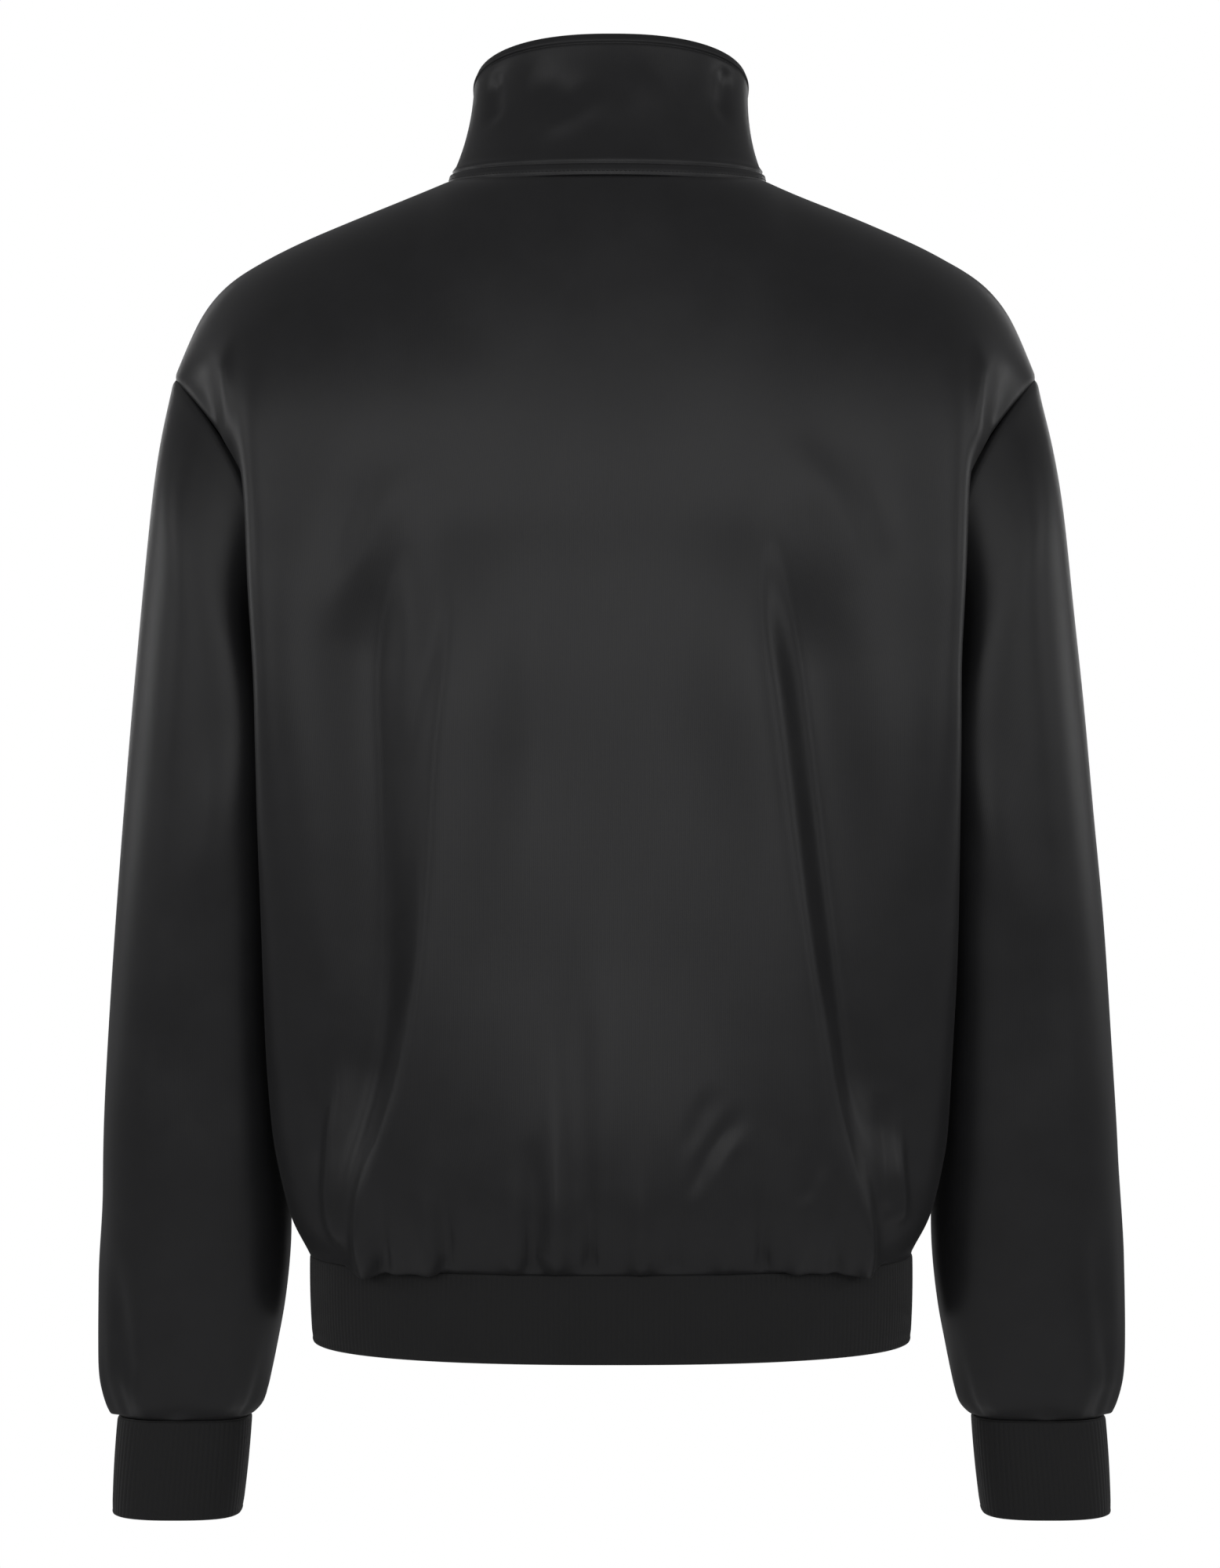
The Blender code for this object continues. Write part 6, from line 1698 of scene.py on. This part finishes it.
# ---- zip ---------------------------------------------------------------------------------------------
@dataclass
class Zip:
    """Tapes behind the front edges, coil teeth, slider with its bridge, pull tab, box and stops."""

    cloth: SatinCloth
    steps: int = 220  # along the front
    ease: int = 12
    foot_share: float = 0.5  # of the way over the waistband's seam
    front_trim: tuple[int, int] = (6, -4)
    collar_trim: int = 6
    tape_places: tuple[float, ...] = (
        CHAIN_HALF * 0.4, CHAIN_HALF + 0.0004, 0.0035, 0.0060, 0.0090, 0.0120, TAPE_IN,
    )
    tape_sags: tuple[float, ...] = (0.0, 0.0, 0.0, 0.0001, 0.0003, 0.0006, 0.0010)
    tooth: tuple[float, float, float] = (CHAIN_HALF * 1.5, 0.0022, TOOTH_PITCH * 1.25)
    tooth_round: float = 0.0004
    tooth_steps: int = 2
    chain_forward: float = 0.0002  # of the tape's middle
    cast_round: float = 0.00035
    stop_round: float = 0.00025
    cast_steps: int = 3
    flat_below: float = math.radians(2)  # angle of an edge
    round_above: float = math.radians(30)
    sharp_above: float = math.radians(40)

    def build(self) -> None:
        """Make every piece of the zip."""
        self.line = self.front_line()
        run = unit(np.gradient(self.line, axis=0))
        self.out = np.stack([np.zeros(len(run)), -run[:, 2], run[:, 1]], axis=1)
        self.depth = WALL + TAPE_BEHIND
        for side, node in ((1.0, "zip_tape_left"), (-1.0, "zip_tape_right")):
            self.tape(side, node)
        self.teeth()
        for node, body in (("zip_slider", "jacket"), ("zip_pull", "pull_tab")):
            self.cast(node, body, self.cast_round)
        for node in ("zip_box", "zip_stop_left", "zip_stop_right"):
            self.cast(node, "jacket", self.stop_round)

    def front_line(self) -> np.ndarray:
        """The centre front in the middle plane: points from the waistband's foot to the collar's top."""
        left, collar = self.cloth.nets["front_left"].points, self.cloth.nets["collar"].points
        top, foot = hem_lines()
        low, high = foot[-1], top[-1]
        first, last = self.front_trim
        over = high + (left[first, 0] - high) * self.foot_share
        upper = collar[self.collar_trim : -self.collar_trim, -1]
        rows = np.vstack([low, over, left[first:last, 0], upper])
        rows[:, 0] = 0.0
        line = resample(rows, np.linspace(0, 1, self.steps))
        for _ in range(self.ease):
            line[1:-1] = (line[:-2] + 2 * line[1:-1] + line[2:]) / 4
        return line

    def tape(self, side: float, node: str) -> None:
        """A tape with a bound inner edge, behind a front edge."""
        points = np.empty((len(self.line), len(self.tape_places), 3))
        for c, (x, sag) in enumerate(zip(self.tape_places, self.tape_sags)):
            points[:, c] = lean(self.line - self.out * (self.depth + sag) + np.array([side * x, 0, 0]))
        net = Net(points, False)
        net.normals = np.repeat(self.out[:, None], len(self.tape_places), axis=1)
        obj = cloth_shell(node + "_weave", net, TAPE_WALL, TAPE_WEAVE, TAPE_WEAVE)
        finished(obj, "jacket", "zip_tape", node)

    def teeth(self) -> None:
        """The closed rows of coil teeth, from the box to the slider."""
        tooth = rounded_box("tooth", self.tooth, self.tooth_round, self.tooth_steps)
        middle = self.depth + TAPE_WALL / 2
        inside = lean(self.line - self.out * (middle - self.chain_forward))
        low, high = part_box("zip_chain")
        keep = (inside[:, 2] > low.z) & (inside[:, 2] < high.z)
        base = line_object("chain_line", inside[keep])
        finish = TEETH.material()
        obj = grown("zip_teeth", base, teeth_tree(), Tooth=tooth, Finish=finish, Pitch=TOOTH_PITCH)
        obj.data.shade_smooth()
        bpy.data.objects.remove(tooth)
        finished(obj, "jacket", "zip_teeth", "zip_chain")

    def cast(self, node: str, body: str, radius: float) -> None:
        """A die-cast piece: its CAD node's shape with rounded edges.

        Args:
            node: The CAD node that it stands for.
            body: The body that it rides on.
            radius: Of its edges.
        """
        bm = bmesh.new()
        bm.from_mesh(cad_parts[node].data)
        bmesh.ops.remove_doubles(bm, verts=bm.verts, dist=TINY)
        bmesh.ops.dissolve_limit(bm, angle_limit=self.flat_below, verts=bm.verts, edges=bm.edges)
        pairs = [e for e in bm.edges if len(e.link_faces) == 2]
        round_off(bm, [e for e in pairs if e.calc_face_angle() > self.round_above], radius, self.cast_steps)
        bmesh.ops.triangulate(bm, faces=[f for f in bm.faces if len(f.verts) > 4])
        mesh = mesh_from(node + "_cast", bm)
        mesh.materials.append(ENAMEL.material())
        mesh.set_sharp_from_angle(angle=self.sharp_above)
        for polygon in mesh.polygons:
            polygon.use_smooth = True
        mesh.uv_layers.new(name="cloth")
        finished(linked(node + "_cast", mesh), body, "zip_metal", node)


def round_off(bm: bmesh.types.BMesh, edges: list, radius: float, steps: int) -> None:
    """Round these edges."""
    bmesh.ops.bevel(bm, geom=edges, offset=radius, segments=steps, profile=0.5, affect="EDGES")


def rounded_box(name: str, size: tuple[float, float, float], radius: float, steps: int) -> bpy.types.Object:
    """A box with rounded edges, round the origin."""
    bm = bmesh.new()
    bmesh.ops.create_cube(bm, size=1.0)
    bmesh.ops.scale(bm, vec=Vector(size), verts=bm.verts)
    round_off(bm, list(bm.edges), radius, steps)
    return linked(name, mesh_from(name, bm))


# ---- studio ------------------------------------------------------------------------------------------
@dataclass(frozen=True)
class Softbox:
    """A pair of soft lights: their bearings from the camera's side, height, size and strength."""

    name: str
    bearing: float
    height: float
    width: float
    tall: float
    power: float


@dataclass
class Studio:
    """Camera, lights, pale floor and white surround."""

    camera_distance: float = 2.2
    camera_height: float = -0.335
    lens: float = 90.0
    sensor: float = 36.0
    floor_z: float = -1.60
    floor_radius: float = 2.3
    floor_steps: int = 96
    floor_colour: tuple[float, float, float, float] = (0.80, 0.80, 0.80, 1.0)
    floor_roughness: float = 0.9
    surround: tuple[float, float, float] = (0.142, 0.142, 0.144)
    light_distance: float = 2.6
    softboxes: tuple[Softbox, ...] = (
        Softbox("back", 12.0, 0.70, 0.8, 0.5, 2.30),
        Softbox("quarter", 42.0, 0.70, 0.7, 0.5, 1.90),
        Softbox("high", 80.0, 0.70, 0.5, 0.5, 1.50),
        Softbox("low", 10.0, 0.10, 0.6, 0.5, 1.25),
        Softbox("low_quarter", 46.0, 0.25, 0.6, 0.5, 1.45),
        Softbox("side", 80.0, 0.45, 0.5, 0.5, 1.20),
        Softbox("upper", 30.0, 1.50, 0.8, 0.5, 0.60),
        Softbox("edge", 116.0, 0.30, 0.5, 0.7, 1.80),
        Softbox("front", 158.0, 0.45, 0.7, 0.9, 2.60),
    )

    def build(self) -> None:
        """Make the camera, the lights, the floor and the surround."""
        scene = bpy.context.scene
        scene.view_settings.view_transform = "Standard"
        data = bpy.data.cameras.new("camera")
        data.lens = self.lens
        data.sensor_width = self.sensor
        data.sensor_fit = "AUTO"
        camera = linked("camera", data)
        camera.location = (0.0, self.camera_distance, self.camera_height)
        camera.rotation_euler = (math.pi / 2, 0.0, math.pi)
        scene.camera = camera
        for box in self.softboxes:
            self.light(box, "left", math.radians(-box.bearing))
            self.light(box, "right", math.radians(box.bearing))
        self.floor()
        self.world()

    def light(self, box: Softbox, side: str, turn: float) -> None:
        """A rectangular area light that faces the jacket's middle."""
        data = bpy.data.lights.new(f"{box.name}_{side}", "AREA")
        data.shape = "RECTANGLE"
        data.size, data.size_y = box.width, box.tall
        data.energy = box.power
        light = linked(data.name, data)
        middle = Vector((0.0, 0.0, self.camera_height))
        far = self.light_distance
        place = middle + Vector((-math.sin(turn) * far, math.cos(turn) * far, box.height))
        light.location = place
        light.rotation_euler = (middle - place).to_track_quat("-Z", "Z").to_euler()
        light.visible_camera = False

    def floor(self) -> None:
        """A pale round floor under the jacket."""
        bm = bmesh.new()
        bmesh.ops.create_circle(bm, cap_ends=True, segments=self.floor_steps, radius=self.floor_radius)
        mesh = mesh_from("floor", bm)
        mesh.transform(Matrix.Translation((0.0, 0.0, self.floor_z)))
        material = bpy.data.materials.new("pale_floor")
        material.use_nodes = True
        look = {"Base Color": self.floor_colour, "Roughness": self.floor_roughness}
        Graph(material.node_tree).put(material.node_tree.nodes["Principled BSDF"], look)
        mesh.materials.append(material)
        floor = linked("floor", mesh)

    def world(self) -> None:
        """White to the eye, dim to the cloth."""
        world = bpy.data.worlds.new("surround")
        world.use_nodes = True
        g = Graph(world.node_tree)
        dim, sink = world.node_tree.nodes["Background"], world.node_tree.nodes["World Output"]
        dim.inputs["Color"].default_value = (*self.surround, 1.0)
        seen = g.add("ShaderNodeBackground", {"Color": (1.0, 1.0, 1.0, 1.0)})
        eye = g.add("ShaderNodeLightPath").outputs["Is Camera Ray"]
        mix = g.add("ShaderNodeMixShader", {0: eye, 1: dim.outputs[0], 2: seen.outputs[0]})
        g.put(sink, {"Surface": mix.outputs[0]})
        bpy.context.scene.world = world


def main() -> None:
    """Build the studio and the jacket, piece by piece."""
    logging.basicConfig(level=logging.INFO, format="%(name)s: %(message)s")
    Studio().build()
    cloth = SatinCloth(Cut(Grain()))
    cloth.build()
    cloth.dress()
    ribs = rib_tree()
    hem_top, hem_foot = hem_lines()
    RibbedBand("waistband_rib", "hem_rib", hem_top, hem_foot, False, WAISTBAND_FLAT).build(ribs)
    for side, node in ((1.0, "cuff_left"), (-1.0, "cuff_right")):
        top, foot = (cuff_line(row, side) for row in CUFF)
        RibbedBand(node + "_rib", node, top, foot, True, CUFF_FLAT).build(ribs)
    Topstitching(cloth).build()
    Zip(cloth).build()


if __name__ == "__main__":
    main()
